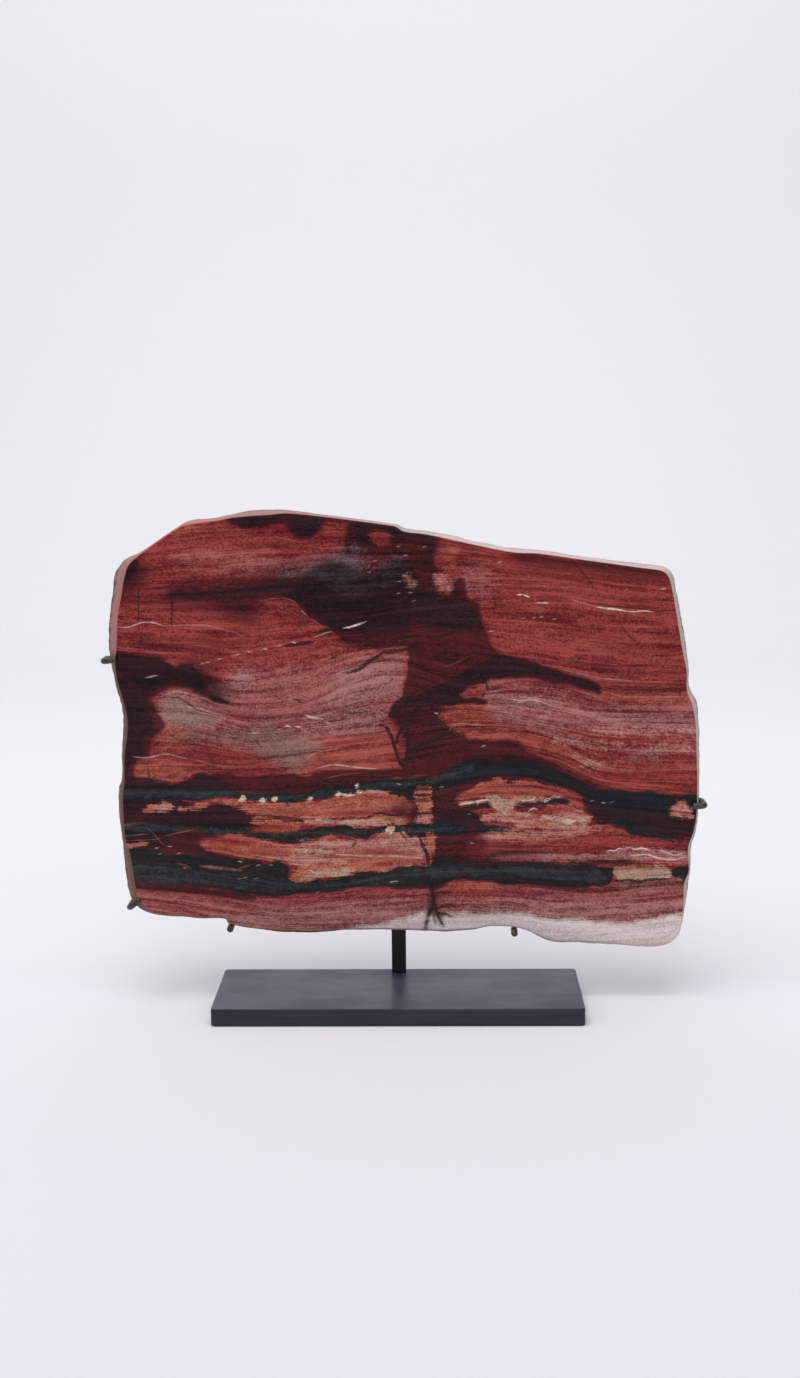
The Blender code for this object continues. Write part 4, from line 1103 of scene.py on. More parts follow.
# %% Dark cracks
# Each crack: points on the face, width in mm and strength.
DARK_LINES = [
    ([(-152.5, 287), (-152, 275), (-153, 262)], 1.0, 0.9),
    ([(-174.5, 290), (-174.6, 278), (-175.5, 265)], 0.9, 0.8),
    ([(-172, 262), (-174, 252), (-176, 242)], 0.8, 0.7),
    ([(-192, 262.4), (-183, 261.2)], 1.4, 0.9),
    ([(-163, 213), (-150, 213.2), (-143, 209), (-137, 205), (-128, 202)], 0.9, 0.6),
    ([(-33, 229.5), (-27, 231.5), (-22, 234.5), (-18, 238), (-13, 240.5), (-10, 243)], 2.6, 0.95),
    ([(-10, 243.6), (-3, 244), (4, 245), (12, 247), (19, 250)], 2.6, 0.95),
    ([(-75, 248.5), (-66, 249.6), (-57, 251)], 3.6, 0.9),
    ([(-52, 257.5), (-47, 259.6), (-43, 261)], 3.6, 0.8),
    ([(-45, 239), (-40, 241.5)], 1.6, 0.9),
    ([(-70, 212), (-65, 209.5)], 0.9, 0.9),
    ([(130, 276.4), (150, 273.6), (168, 272.2)], 0.9, 0.7),
    ([(175, 270), (189, 271.5)], 0.8, 0.8),
    ([(118, 305), (125, 298), (131, 290), (137, 282)], 0.9, 0.45),
    ([(151, 263), (158, 253), (162, 250)], 0.9, 0.6),
    ([(173.5, 240.5), (193, 240.6)], 0.8, 0.75),
    ([(173.5, 240), (172.5, 234)], 0.7, 0.75),
    ([(157.5, 233.8), (172, 233.3)], 0.8, 0.75),
    ([(158, 233), (157, 226)], 0.7, 0.75),
    ([(-7.4, 193), (-5.6, 188), (-3.6, 184.6), (-2.2, 179), (-0.6, 174), (1.5, 166)], 3.0, 0.95),
    ([(4.6, 196), (3.4, 190.6), (1.4, 187.6), (-0.4, 183), (-1.6, 180)], 2.2, 0.9),
    ([(-15, 192), (-11, 193.4), (-7, 191)], 1.2, 0.7),
    ([(6.6, 200), (7, 190), (7, 180), (6, 166)], 2.4, 0.95),
    ([(1, 168), (4, 165)], 3.8, 1.0),
    ([(-28, 186), (-20, 187), (-12, 187.4)], 0.9, 0.5),
    ([(61, 222), (62, 217)], 1.2, 0.95),
    ([(62, 217), (70, 218.5)], 1.1, 0.95),
    ([(60, 215), (58, 213)], 1.2, 0.9),
    ([(8, 176), (14, 178), (20, 181), (28, 184), (34, 189)], 3.2, 0.95),
    ([(-6, 251.6), (6, 253.4), (16, 255)], 1.6, 0.8),
    ([(20, 253), (30, 254.5), (38, 256)], 1.2, 0.8),
    ([(3, 257), (12, 258)], 1.2, 0.8),
    ([(-20, 129.8), (-12, 132), (-3, 130.5), (7, 131.4)], 1.2, 0.95),
    ([(-9, 127.4), (-3, 127.4)], 2.2, 0.6),
    ([(-32, 108), (-29, 112)], 2.0, 0.8),
    ([(148, 83), (158, 84.2), (167, 82.6), (172, 84.2), (188, 85)], 1.6, 0.95),
    ([(24, 84), (23.4, 77), (24.4, 70), (23.4, 65), (21.4, 60)], 2.8, 0.6),
    ([(22.6, 64), (20.4, 59), (19.4, 54), (18.4, 48.6)], 2.4, 0.7),
    ([(25.6, 68), (26.4, 63), (27.4, 58.6), (29.2, 55), (31, 52.2)], 1.5, 0.75),
    ([(25, 64), (30, 65.6), (35, 66.4), (40.6, 65)], 1.7, 0.9),
    ([(26, 61.6), (31, 60.6), (37, 58.4)], 1.6, 0.85),
    ([(23.6, 62), (24.4, 58), (25.4, 53)], 1.4, 0.6),
    ([(26, 75.4), (32, 75.8), (37, 76)], 1.5, 0.75),
    ([(72, 74), (70, 66), (72, 62)], 0.7, 0.45),
    ([(127, 75), (128, 66)], 0.7, 0.45),
    ([(15, 114), (18, 107), (20.4, 101), (20.4, 95)], 2.8, 1.0),
    ([(11, 148.4), (23, 148.8)], 1.6, 1.0),
    ([(11, 144.4), (24, 144.8)], 1.8, 1.0),
    ([(12, 140.6), (24, 140.8)], 1.2, 0.7),
    ([(12, 132), (24, 131.6)], 1.8, 0.9),
    ([(-104, 132.6), (-116, 135.6), (-126, 138)], 1.4, 0.8),
    ([(-171, 156), (-171.4, 165)], 1.0, 0.7),
    ([(-160, 158), (-152, 160), (-147, 164)], 0.9, 0.5),
    ([(-178, 157), (-168, 156), (-155, 153.6)], 1.3, 0.7),
    ([(-45, 249), (-30, 247.4), (-12, 248.6)], 1.8, 0.6),
    ([(-40, 252.6), (-24, 251), (-8, 251.6)], 1.2, 0.6),
    ([(-30, 222), (-18, 226), (-6, 229)], 1.0, 0.5),
    ([(-28, 216), (-16, 219), (-4, 223)], 0.8, 0.4),
    ([(-38, 203), (-28, 202), (-18, 203)], 1.4, 0.6),
    ([(140, 218.6), (170, 217.4), (198, 217)], 2.4, 0.6),
    ([(145, 222), (175, 221), (198, 220.6)], 1.2, 0.45),
    ([(140, 203), (160, 202), (178, 201)], 1.6, 0.55),
    ([(142, 198.4), (160, 198), (174, 198)], 1.2, 0.5),
    ([(60, 189), (90, 188), (120, 183.4), (150, 178)], 1.2, 0.4),
    ([(-180, 226), (-170, 224), (-160, 226)], 1.6, 0.5),
    ([(60, 109), (80, 108), (104, 109)], 1.4, 0.4),
    ([(64, 103), (90, 104), (120, 103)], 1.4, 0.45),
    ([(-95, 136), (-80, 135), (-62, 136.4)], 0.8, 0.4),
    ([(-50, 135.6), (-30, 137), (-10, 136)], 0.8, 0.35),
    ([(2, 118), (6, 113)], 1.4, 0.6),
    ([(58, 150), (72, 150.4), (90, 150.6), (104, 148.4)], 0.9, 0.55),
    ([(48, 145), (66, 145.6), (90, 145.4)], 0.8, 0.5),
    ([(-60, 116.4), (-75, 115)], 1.2, 0.5),
    ([(186, 104), (196, 112)], 1.6, 0.5),
]
print("dark lines:", len(DARK_LINES))

# %% [markdown]
# A line half a millimetre wide falls between the points of the grid, so its distance alone
# would break into beads. Its signed offset doesn't: it runs evenly from one side of the line
# to the other, and the line is where it passes zero. Lines that come close are kept apart in
# sets of their own, so that their offsets never mix.

# %% Offsets from the lines
LINE_REACH = 3.0
LINE_GAP = 5.5
FAR_OFFSET = 9.0


def sort_into_sets(lines):
    """Sets of lines in which no two come closer than the gap."""
    sets = []
    for line in lines:
        path = smooth(line[0], closed=False)
        for members in sets:
            gaps = [np.linalg.norm(path[:, None] - other[None], axis=2).min() for _, other in members]
            if min(gaps) > LINE_GAP:
                members.append((line, path))
                break
        else:
            sets.append([(line, path)])
    return sets


def offset_field(members):
    """For every vertex: offset over half width, nearness and strength of the closest line."""
    field = np.tile([FAR_OFFSET, 0.0, 0.0], (len(SPOTS), 1))
    for (_, width, strength), path in members:
        low, high = path.min(axis=0) - LINE_REACH, path.max(axis=0) + LINE_REACH
        near = np.flatnonzero(np.all((SPOTS > low) & (SPOTS < high), axis=1))
        x, z = SPOTS[near].T
        closest = np.full(len(near), LINE_REACH)
        for k, ((x0, z0), (x1, z1)) in enumerate(zip(path, path[1:])):
            run, rise = x1 - x0, z1 - z0
            t = np.clip(((x - x0) * run + (z - z0) * rise) / (run**2 + rise**2 + 1e-9), 0, 1)
            gap = np.hypot(x - x0 - t * run, z - z0 - t * rise)
            side = np.sign((x - x0) * rise - (z - z0) * run)
            middle = 2 * (k + t) / (len(path) - 1) - 1
            half = width / 2 * (1.1 - 0.75 * np.abs(middle) ** 3)
            better = gap < closest
            closest = np.where(better, gap, closest)
            found = np.column_stack([side * gap / half, 1 - gap / LINE_REACH, np.full(len(x), strength)])
            field[near[better]] = found[better]
    return field


def store_lines(name, lines):
    """Stores one field for each set of the lines, and gives back the names of the fields."""
    names = []
    for members in sort_into_sets(lines):
        names.append(name + str(len(names)))
        store(names[-1], offset_field(members))
    print(name, "lines:", len(lines), "in", len(names), "sets")
    return names


vein_sets = store_lines("vein", PALE_LINES)
crack_sets = store_lines("crack", DARK_LINES)

# %% [markdown]
# The stone's material starts with its grain. The bed height is warped a little, so that no
# bed is ruled straight, and then stretched noises are laid in it: long streaks, thin laminae,
# fine grain and slow clouds. Only the mottling ignores the beds. All but the clouds are added
# up, each with its weight, to the weave: a single number that makes every layer lighter or
# darker along the same lines.

# %% Grain that follows the beds
BEND_SIZES, BEND_HEIGHT = (90, 90, 34), 5.0
RIPPLE_SIZES, RIPPLE_HEIGHT = (14, 14, 7), 0.8
# Name, sizes of the grains in mm, detail, roughness, and whether it follows the beds.
STONE_NOISES = [
    ("streak", (90, 90, 4.6), 5.0, 0.66, True),
    ("lamina", (34, 34, 0.85), 3.0, 0.65, True),
    ("mottle", (7, 7, 4.5), 5.0, 0.62, False),
    ("grain", (1.5, 1.5, 0.8), 3.0, 0.7, True),
    ("cloud", (38, 38, 15), 3.0, 0.6, True),
]
GRAIN_WEIGHT = 0.85
OTHER_WEIGHTS = [("streak", 0.9), ("lamina", 0.45), ("mottle", 0.3)]


def stored(tree, name, output="Fac"):
    """What the mesh keeps at every point under that name."""
    return add(tree, 'ShaderNodeAttribute', attribute_name=name).outputs[output]


def grain_of_stone(tree):
    """Places and noises of the stone, by name."""
    spot = millimetres(tree)
    axes = add(tree, 'ShaderNodeSeparateXYZ', {0: spot}).outputs
    bend = stretched_noise(tree, spot, BEND_SIZES, 2.0)
    ripple = stretched_noise(tree, spot, RIPPLE_SIZES, 2.0)
    warped = calc(tree, 'MULTIPLY_ADD', bend, BEND_HEIGHT, stored(tree, "bed"))
    warped = calc(tree, 'MULTIPLY_ADD', ripple, RIPPLE_HEIGHT, warped)
    flow = add(tree, 'ShaderNodeCombineXYZ', {0: axes[0], 1: axes[1], 2: warped}).outputs[0]
    made = {}
    for name, sizes, detail, rough, follows in STONE_NOISES:
        made[name] = stretched_noise(tree, flow if follows else spot, sizes, detail, rough)
    weave = calc(tree, 'MULTIPLY', made["grain"], GRAIN_WEIGHT)
    for name, weight in OTHER_WEIGHTS:
        weave = calc(tree, 'MULTIPLY_ADD', made[name], weight, weave)
    return SimpleNamespace(spot=spot, x=axes[0], y=axes[1], z=axes[2], weave=weave, **made)


print("noises of the stone:", [name for name, *_ in STONE_NOISES])

# %% [markdown]
# Under all layers lies the ground: brick red that runs from dark to light with the weave, with
# slow darker clouds, a few paler threads along the beds, and tiny sparks of quartz. Real
# jasper gets its depth from such faint differences, and an even red would look like plastic.

# %% Brick red ground
def ground_colour(tree, stone):
    """Brick red with clouds, threads and sparks."""
    colour = blend(tree, fade(tree, stone.weave, 1.04, 1.46), linear("540e15"), linear("b04a46"))
    colour = blend(tree, fade(tree, stone.cloud, 0.42, 0.66, 0.0, 0.5), colour, linear("500e15"))
    thread = fade(tree, calc(tree, 'MULTIPLY_ADD', stone.streak, 0.5, stone.lamina), 0.84, 0.96, 0.0, 0.4)
    colour = blend(tree, thread, colour, linear("b4665c"))
    spark = fade(tree, calc(tree, 'MULTIPLY_ADD', stone.lamina, 0.6, stone.grain), 0.98, 1.12, 0.0, 0.65)
    return blend(tree, spark, colour, linear("b87a70"))


print("darkest ground:", [round(value, 3) for value in linear("540e15")[:3]])

# %% [markdown]
# Each layer now gets its two tints and the character of its edge. A stain has a soft edge, a
# black bed a crisp one. The mottling and the grain tear it, and the laminae feather it along
# the beds. The order matters, because each layer covers the ones before it.

# %% Layers over the ground
# Name, dark and light tint, then in mm the softness, tearing and feathering, then the cover.
LAYERS = [
    ("warm", "6c1a1b", "ac5048", 6.0, 14.0, 8.0, 0.5),
    ("blush", "762e32", "c2847d", 7.0, 18.0, 16.0, 0.5),
    ("orange", "7a2422", "bc6654", 4.0, 14.0, 14.0, 0.75),
    ("bleached", "622e32", "be8e88", 5.0, 16.0, 12.0, 0.55),
    ("tan", "5c3e3a", "a08878", 6.0, 14.0, 14.0, 0.68),
    ("pale", "c6acaa", "ece0dc", 2.4, 5.0, 4.0, 0.95),
    ("stain", "1c0a0f", "48161b", 9.0, 18.0, 14.0, 0.85),
    ("wine", "1e090e", "5a1c20", 1.2, 9.0, 4.0, 0.95),
    ("haze", "2a1c22", "847478", 6.0, 22.0, 12.0, 0.66),
    ("soot", "120a0d", "362226", 3.0, 12.0, 9.0, 0.85),
    ("night", "12090d", "3a1a20", 0.9, 8.0, 4.0, 0.96),
    ("black", "0d0d0f", "242527", 0.6, 6.0, 3.0, 0.97),
    ("core", "1c2022", "424848", 1.8, 8.0, 5.0, 0.66),
    ("ember", "862a24", "cc8064", 0.6, 8.0, 8.0, 0.95),
    ("rose", "8a383a", "d09c90", 3.0, 10.0, 8.0, 0.8),
    ("crimson", "6a161a", "a8443e", 2.0, 9.0, 10.0, 0.8),
    ("garnet", "300e14", "5e1c20", 4.0, 12.0, 10.0, 0.75),
    ("sand", "8a5c4e", "ccaa94", 1.0, 6.0, 5.0, 0.9),
    ("cream", "b4886e", "f0dccb", 0.6, 6.5, 3.0, 0.86),
]
FINE_TEAR = 0.5
WEAVE_DARK, WEAVE_LIGHT = 1.02, 1.48


def lay_over(tree, stone, colour, layer):
    """The colour with one more layer on it."""
    name, dark, light, soft, torn, feather, cover = layer
    edge = calc(tree, 'MULTIPLY_ADD', calc(tree, 'SUBTRACT', stone.mottle, 0.5), torn, stored(tree, name))
    edge = calc(tree, 'MULTIPLY_ADD', calc(tree, 'SUBTRACT', stone.grain, 0.5), torn * FINE_TEAR, edge)
    edge = calc(tree, 'MULTIPLY_ADD', calc(tree, 'SUBTRACT', stone.lamina, 0.5), feather, edge)
    share = fade(tree, edge, -soft, soft, 0.0, cover)
    tint = blend(tree, fade(tree, stone.weave, WEAVE_DARK, WEAVE_LIGHT), linear(dark), linear(light))
    return blend(tree, share, colour, tint)


print("layers:", len(LAYERS))

# %% [markdown]
# The lines go over the layers. Noise frays their sides and leaves gaps in them, since no vein
# is an even stroke. A strong line is nearly its full tint, and a weak one is closer to the
# stone around it, so one rule serves a bright quartz vein and a hair that barely shows.

# %% Lines over the layers
# Fields of the lines, tint of a weak and of a strong line, narrowing, and what the gaps leave.
LINE_LOOKS = [
    (crack_sets, "120b0d", "2a1a1c", 0.7, 0.75),
    (vein_sets, "a86054", "f0e4d4", 1.2, 0.32),
]
WEAK, STRONG = 0.55, 0.98
LINE_SIDE, LINE_HEART = 1.3, 0.5
FIELD_END, FIELD_FULL = 0.48, 0.6


def draw_lines(tree, stone, colour):
    """The colour with all cracks and then all veins on it."""
    frayed = calc(tree, 'MULTIPLY_ADD', stone.grain, 3.0, -1.5)
    patchy = calc(tree, 'ADD', stone.mottle, stone.grain)
    for names, weak, strong, narrow, least in LINE_LOOKS:
        broken = fade(tree, patchy, 0.84, 1.1, least, 1.0)
        for name in names:
            line = add(tree, 'ShaderNodeSeparateXYZ', {0: stored(tree, name, "Vector")}).outputs
            tint = blend(tree, fade(tree, line[2], WEAK, STRONG), linear(weak), linear(strong))
            across = calc(tree, 'MULTIPLY_ADD', calc(tree, 'ABSOLUTE', line[0]), narrow, frayed)
            body = fade(tree, across, LINE_SIDE, LINE_HEART)
            close = fade(tree, line[1], FIELD_END, FIELD_FULL)
            share = calc(tree, 'MULTIPLY', calc(tree, 'MULTIPLY', body, close), line[2])
            colour = blend(tree, calc(tree, 'MULTIPLY', share, broken), colour, tint)
    return colour


print("fields of lines:", len(crack_sets) + len(vein_sets))

# %% [markdown]
# The rim was never polished. Its skin is dull and dusty: pinkish at the top, brown below, and
# whitish to the right. Farther back, its sides show the beds again. The skin covers the face's
# pattern only in part, so that the stone still looks like one piece.

# %% Skin of the rim
def rim_skin(tree, stone, colour):
    """The colour with the boulder's skin on the rim, and the share of the rim."""
    rim = stored(tree, "rim")
    depth = calc(tree, 'MULTIPLY_ADD', stone.mottle, 3.0, calc(tree, 'SUBTRACT', stone.y, SLAB_FRONT / MM))
    upper = fade(tree, stone.z, 222.0, 250.0)
    skin = blend(tree, fade(tree, depth, 3.2, 5.6), blend(tree, upper, linear("7e5c50"), linear("c08280")),
                 blend(tree, upper, linear("8a7264"), linear("a8928a")))
    side = calc(tree, 'MULTIPLY_ADD', stone.mottle, 60.0, stone.x)
    skin = blend(tree, fade(tree, side, -60.0, 90.0, 0.0, 0.85), skin, linear("dccfca"))
    beds = blend(tree, fade(tree, stone.streak, 0.42, 0.6), linear("744a42"), linear("b8948a"))
    beds = blend(tree, fade(tree, stone.cloud, 0.5, 0.64, 0.0, 0.7), beds, linear("54403a"))
    sideways = fade(tree, facing_up(tree), 0.25, 0.6, 0.9, 0.15)
    skin = blend(tree, calc(tree, 'MULTIPLY', fade(tree, depth, 6.0, 9.0), sideways), skin, beds)
    skin = blend(tree, fade(tree, stone.grain, 0.42, 0.62, 0.0, 0.25), skin, linear("6e544c"))
    hidden = calc(tree, 'MULTIPLY', rim, fade(tree, depth, 5.0, 9.0, 0.84, 0.74))
    return blend(tree, hidden, colour, skin), rim


print("the face stands", round(SLAB_FRONT / MM, 1), "mm behind the middle of the plate")

# %% [markdown]
# Everything meets in one shader. The polished face is smooth, but its gloss is held low, for a
# strong mirror would wash out the colours. The rim is rough with a bump from the grain, and
# the back gets the long parallel scratches of the saw blade and a dusty tone.

# %% The stone's material
POLISHED, ROUGH = 0.16, 0.8
GLOSS = 0.14
SAW_MARKS = (1.4, 9.0, 90.0)
BUMP_DEPTH, BUMP_STRENGTH = 0.4 * MM, 0.5
DUST_ON_BACK = 0.4


def build_jasper():
    """Polished jasper: beds of colour with torn edges, and the rough skin of the rim."""
    material, tree, shader = new_material("jasper")
    stone = grain_of_stone(tree)
    colour = ground_colour(tree, stone)
    for layer in LAYERS:
        colour = lay_over(tree, stone, colour, layer)
    colour = draw_lines(tree, stone, colour)
    colour, rim = rim_skin(tree, stone, colour)
    sawn = stored(tree, "sawn")
    colour = blend(tree, calc(tree, 'MULTIPLY', sawn, DUST_ON_BACK), colour, linear("8a706a"))
    tree.links.new(colour, shader.inputs["Base Color"])
    rough = fade(tree, calc(tree, 'MAXIMUM', rim, sawn), 0.0, 1.0, POLISHED, ROUGH)
    tree.links.new(rough, shader.inputs["Roughness"])
    shader.inputs["Specular IOR Level"].default_value = GLOSS
    saw_marks = stretched_noise(tree, stone.spot, SAW_MARKS, 2.0)
    height = calc(tree, 'MULTIPLY_ADD', saw_marks, sawn, stone.grain)
    strength = calc(tree, 'MULTIPLY', calc(tree, 'MAXIMUM', rim, sawn), BUMP_STRENGTH)
    bump = add(tree, 'ShaderNodeBump', {"Height": height, "Distance": BUMP_DEPTH, "Strength": strength})
    tree.links.new(bump.outputs["Normal"], shader.inputs["Normal"])
    return material


jasper = build_jasper()
slab_mesh.materials.append(jasper)
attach(slab, "root")
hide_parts("jasper_slab")
print("jasper:", len(jasper.node_tree.nodes), "nodes")

# %% [markdown]
# The stand was made to vanish: a flat steel plate and a square bar, both painted, and bronze
# wire bent by hand round the stone. The plate and the bar keep their fixed solids and get a
# satin paint with faint brush lines, clouds of wear, and a painted sheen on what faces up.

# %% Paint of the plate and the post
TOP_SHEEN_SHARE = 0.3
PAINT_GLOSS = 0.33


def build_paint(name, dark, light, roughness, brush):
    """Satin paint with faint brush lines, cloudy wear and a painted sheen of light on what faces up."""
    material, tree, shader = new_material(name)
    spot = millimetres(tree)
    lines = stretched_noise(tree, spot, brush, 4.0, 0.6)
    cloud = stretched_noise(tree, spot, (40, 25, 18), 3.0, 0.6)
    share = fade(tree, calc(tree, 'ADD', lines, cloud), 0.75, 1.25)
    colour = blend(tree, share, linear(dark), linear(light))
    # Painted sheen: what faces up is lightened towards a pale blue grey, as if lit from above.
    colour = blend(tree, fade(tree, facing_up(tree), 0.5, 0.95, 0.0, TOP_SHEEN_SHARE), colour, linear("5c5e78"))
    tree.links.new(colour, shader.inputs["Base Color"])
    worn = fade(tree, cloud, 0.3, 0.7, roughness - 0.06, roughness + 0.08)
    tree.links.new(worn, shader.inputs["Roughness"])
    shader.inputs["Specular IOR Level"].default_value = PAINT_GLOSS
    peel = stretched_noise(tree, spot, (1.6, 1.6, 1.6), 2.0)
    bump = add(tree, 'ShaderNodeBump', {"Height": peel, "Strength": 0.12, "Distance": 0.1 * MM})
    tree.links.new(bump.outputs["Normal"], shader.inputs["Normal"])
    return material


def repaint(node, material):
    """Gives a fixed node that material alone."""
    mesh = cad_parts[node].data
    mesh.materials.clear()
    mesh.materials.append(material)
    print("painted:", node)


repaint("base_plate", build_paint("plate_paint", "1e202d", "292c3d", 0.36, (60, 1.2, 1.2)))
repaint("post", build_paint("post_paint", "101214", "1c1e22", 0.35, (1.2, 1.2, 50)))

# %% [markdown]
# Each prong is one length of wire. It starts in front of the post, where it is brazed on, runs
# behind the stone, and comes forward round its edge. A curve object could carry the wire, but
# a list of corners with a round bend at each says plainly how it was bent in a vice.

# %% Routes of the prongs
ROD_RADIUS = 1.6
GAP = 0.3
HOOK_BEND, FOOT_BEND = 5.0, 3.5
FOOT_TIP_Y = 12.3
DEGREES_PER_STEP = 7
post_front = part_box("post")[0].y / MM
ROD_BACK = post_front - GAP - ROD_RADIUS
ROD_FRONT = SLAB_FRONT / MM - GAP - ROD_RADIUS
HOOKS = {
    "arm_left": [(4, 206), (-200.0, 238.4), (-190.4, 240.4)],
    "arm_right": [(-5, 166), (210.5, 136.4), (201.8, 136.7)],
    "arm_corner": [(4, 128), (-165, 84), (-187.3, 65.5), (-179.4, 72)],
}
FEET = {
    "arm_bottom_left": [(4, 98), (-117.2, 69), (-117.2, 51.2)],
    "arm_bottom_right": [(-5, 86), (80.2, 67), (80.2, 47.6)],
}


def rounded_path(corners, bend):
    """Route through the corners with a circular bend of that radius at each inner one."""
    path = [corners[0]]
    for before, corner, after in zip(corners, corners[1:], corners[2:]):
        back = (before - corner).normalized()
        ahead = (after - corner).normalized()
        half_angle = back.angle(ahead) / 2
        reach = bend / math.tan(half_angle)
        middle = corner + (back + ahead).normalized() * (bend / math.sin(half_angle))
        first = corner + back * reach - middle
        last = corner + ahead * reach - middle
        steps = max(3, round(math.degrees(first.angle(last)) / DEGREES_PER_STEP))
        path += [middle + first.slerp(last, k / steps) * bend for k in range(steps + 1)]
    path.append(corners[-1])
    return path


def hook_route(spots):
    """Behind the stone, round its edge, and a little way over its face."""
    corners = [Vector((x, ROD_BACK, z)) for x, z in spots[:-1]]
    corners += [Vector((x, ROD_FRONT, z)) for x, z in spots[-2:]]
    return rounded_path(corners, HOOK_BEND)


def foot_route(spots):
    """Behind the stone, down, and forward under its lower edge."""
    corners = [Vector((x, ROD_BACK, z)) for x, z in spots]
    corners.append(Vector((spots[-1][0], FOOT_TIP_Y, spots[-1][1])))
    return rounded_path(corners, FOOT_BEND)


routes = {name: hook_route(spots) for name, spots in HOOKS.items()}
routes.update({name: foot_route(spots) for name, spots in FEET.items()})
print("routes:", {name: len(route) for name, route in routes.items()})

# %% [markdown]
# Where the wire meets the stone it wears a thin dark sleeve, so that metal never scratches the
# polish, and the sleeve ends blunt. So the wire is a tube with a radius of its own at every
# station. The sleeve swells away from the stone only, which keeps the small gap between them.

# %% Stations along the wire
STATION_STEP = 2.0
# Length and swell of the sleeves in mm.
HOOK_SLEEVE = (27.0, 0.5)
FOOT_SLEEVE = (13.0, 0.7)
SLEEVE_LIP = 1.5
TIP_DEPTH, TIP_STEPS, TIP_BLUNTNESS = 0.9, 5, 0.45


def wire_stations(route, away, sleeve):
    """Places and radii along the wire; its last stretch swells into a sleeve with a blunt end."""
    length, thick = sleeve
    spots = []
    for a, b in zip(route, route[1:]):
        pieces = max(1, round((b - a).length / STATION_STEP))
        spots += [a.lerp(b, k / pieces) for k in range(pieces)]
    tip, way = route[-1], (route[-1] - route[-2]).normalized()
    stations, left, after = [], 0.0, tip
    for spot in reversed(spots):
        left += (after - spot).length
        swell = min(1.0, max(0.0, (length - left) / SLEEVE_LIP)) * thick
        if left > TIP_DEPTH + 0.2:
            stations.insert(0, (spot + away * swell, ROD_RADIUS + swell))
        after = spot
    for k in range(TIP_STEPS):
        angle = math.pi / 2 * k / TIP_STEPS
        place = tip + away * thick - way * TIP_DEPTH * (1 - math.sin(angle))
        stations.append((place, (ROD_RADIUS + thick) * math.cos(angle) ** TIP_BLUNTNESS))
    return stations


left_stations = wire_stations(routes["arm_left"], Vector((0, -1, 0)), HOOK_SLEEVE)
print("left prong:", len(left_stations), "stations")

# %% [markdown]
# A ring of points at each station, joined ring to ring, is the tube. Each ring is turned as
# little as possible from the last one, so the wire doesn't twist, and a faint dent here and
# there says that it was bent by hand. The braze is a small rough bead on the same mesh, which
# fills the gap to the post.

# %% Wire with its bead of braze
WIRE_SIDES = 20
DENT_DEPTH, DENT_SCALE = 0.06, 0.35
WIRE_SHARP_ANGLE = math.radians(50)
BEAD_SIZE = (4.6, 1.5, 3.0)
BEAD_SUNK = 0.5
BEAD_LUMP, LUMP_SCALE = 0.18, 2.2


def add_bead(bm, start):
    """Rough bead of braze between the wire's first stretch and the post."""
    post_low, post_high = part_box("post")
    centre = Vector(((post_low.x + post_high.x) / 2 / MM, post_front - BEAD_SUNK, start.z))
    for vertex in bmesh.ops.create_icosphere(bm, subdivisions=3, radius=1.0)["verts"]:
        ball = vertex.co.copy()
        lump = 1 + BEAD_LUMP * noise.noise(ball * LUMP_SCALE + start * 0.1)
        vertex.co = (centre + Vector([part * size * lump for part, size in zip(ball, BEAD_SIZE)])) * MM


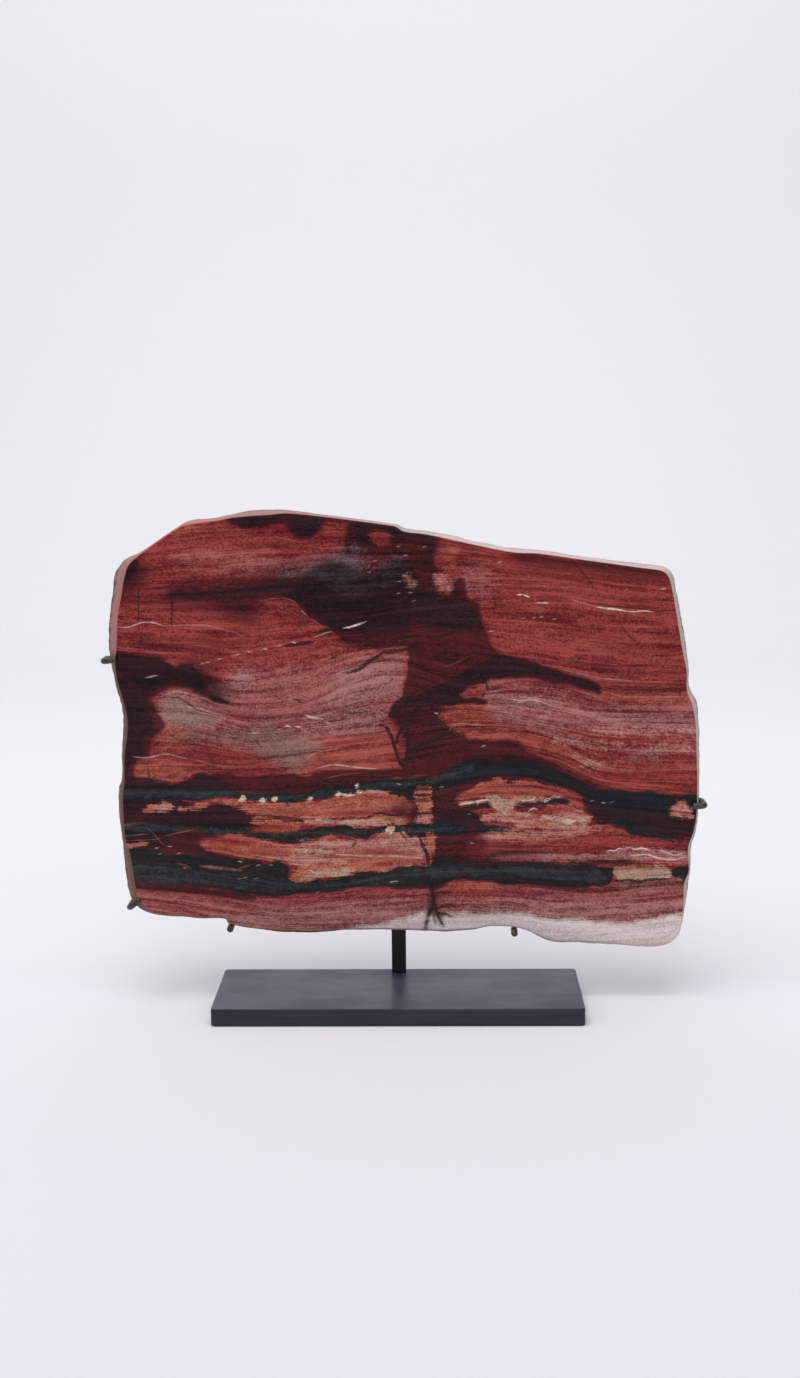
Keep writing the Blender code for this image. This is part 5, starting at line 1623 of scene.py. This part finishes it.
def build_wire(name, route, away, sleeve):
    """Closed tube along the route, slightly uneven like hand-bent wire, with its bead."""
    bm = bmesh.new()
    stations = wire_stations(route, away, sleeve)
    side = Vector((0, 1, 0))
    tube = []
    for i, (place, radius) in enumerate(stations):
        way = (stations[min(i + 1, len(stations) - 1)][0] - stations[max(i - 1, 0)][0]).normalized()
        side = (side - way * side.dot(way)).normalized()
        up = way.cross(side)
        ring = []
        for k in range(WIRE_SIDES):
            turn = 2 * math.pi * k / WIRE_SIDES
            out = side * math.cos(turn) + up * math.sin(turn)
            dent = noise.noise((place + out * radius) * DENT_SCALE) * DENT_DEPTH
            ring.append(bm.verts.new((place + out * (radius + dent)) * MM))
        tube.append(ring)
    for near, far in zip(tube, tube[1:]):
        for k in range(WIRE_SIDES):
            bm.faces.new((near[k - 1], near[k], far[k], far[k - 1]))
    bm.faces.new(tube[0])
    bm.faces.new(reversed(tube[-1]))
    add_bead(bm, route[0])
    bmesh.ops.recalc_face_normals(bm, faces=bm.faces)
    mesh = bpy.data.meshes.new(name + "_wire")
    bm.to_mesh(mesh)
    bm.free()
    mesh.shade_smooth()
    mesh.set_sharp_from_angle(angle=WIRE_SHARP_ANGLE)
    wire = bpy.data.objects.new(name + "_wire", mesh)
    bpy.context.scene.collection.objects.link(wire)
    print(wire.name, len(mesh.polygons), "faces")
    return wire


print("tube with", WIRE_SIDES, "sides")

# %% [markdown]
# Old bronze darkens to brown, and in spots to a greenish grey. It stays a metal under that
# film, so the shader is mostly metallic, and cloudy roughness breaks up its shine. All five
# prongs share this one finish.

# %% Bronze and the five prongs
METAL_SHARE = 0.75


def build_bronze():
    """Dark patinated bronze with greenish grey spots."""
    material, tree, shader = new_material("dark_bronze")
    spot = millimetres(tree)
    cloud = stretched_noise(tree, spot, (5, 5, 5), 4.0, 0.6)
    grit = stretched_noise(tree, spot, (0.8, 0.8, 0.8), 3.0, 0.6)
    colour = blend(tree, fade(tree, cloud, 0.35, 0.65), linear("38322c"), linear("5e5b52"))
    colour = blend(tree, fade(tree, grit, 0.55, 0.7, 0.0, 0.5), colour, linear("787a70"))
    tree.links.new(colour, shader.inputs["Base Color"])
    shader.inputs["Metallic"].default_value = METAL_SHARE
    tree.links.new(fade(tree, cloud, 0.3, 0.7, 0.36, 0.6), shader.inputs["Roughness"])
    bump = add(tree, 'ShaderNodeBump', {"Height": grit, "Strength": 0.3, "Distance": 0.08 * MM})
    tree.links.new(bump.outputs["Normal"], shader.inputs["Normal"])
    return material


bronze = build_bronze()
for name, route in routes.items():
    if name in HOOKS:
        wire = build_wire(name, route, Vector((0, -1, 0)), HOOK_SLEEVE)
    else:
        wire = build_wire(name, route, Vector((0, 0, -1)), FOOT_SLEEVE)
    wire.data.materials.append(bronze)
    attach(wire, "root")
    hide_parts(name)
print("prongs:", len(routes))
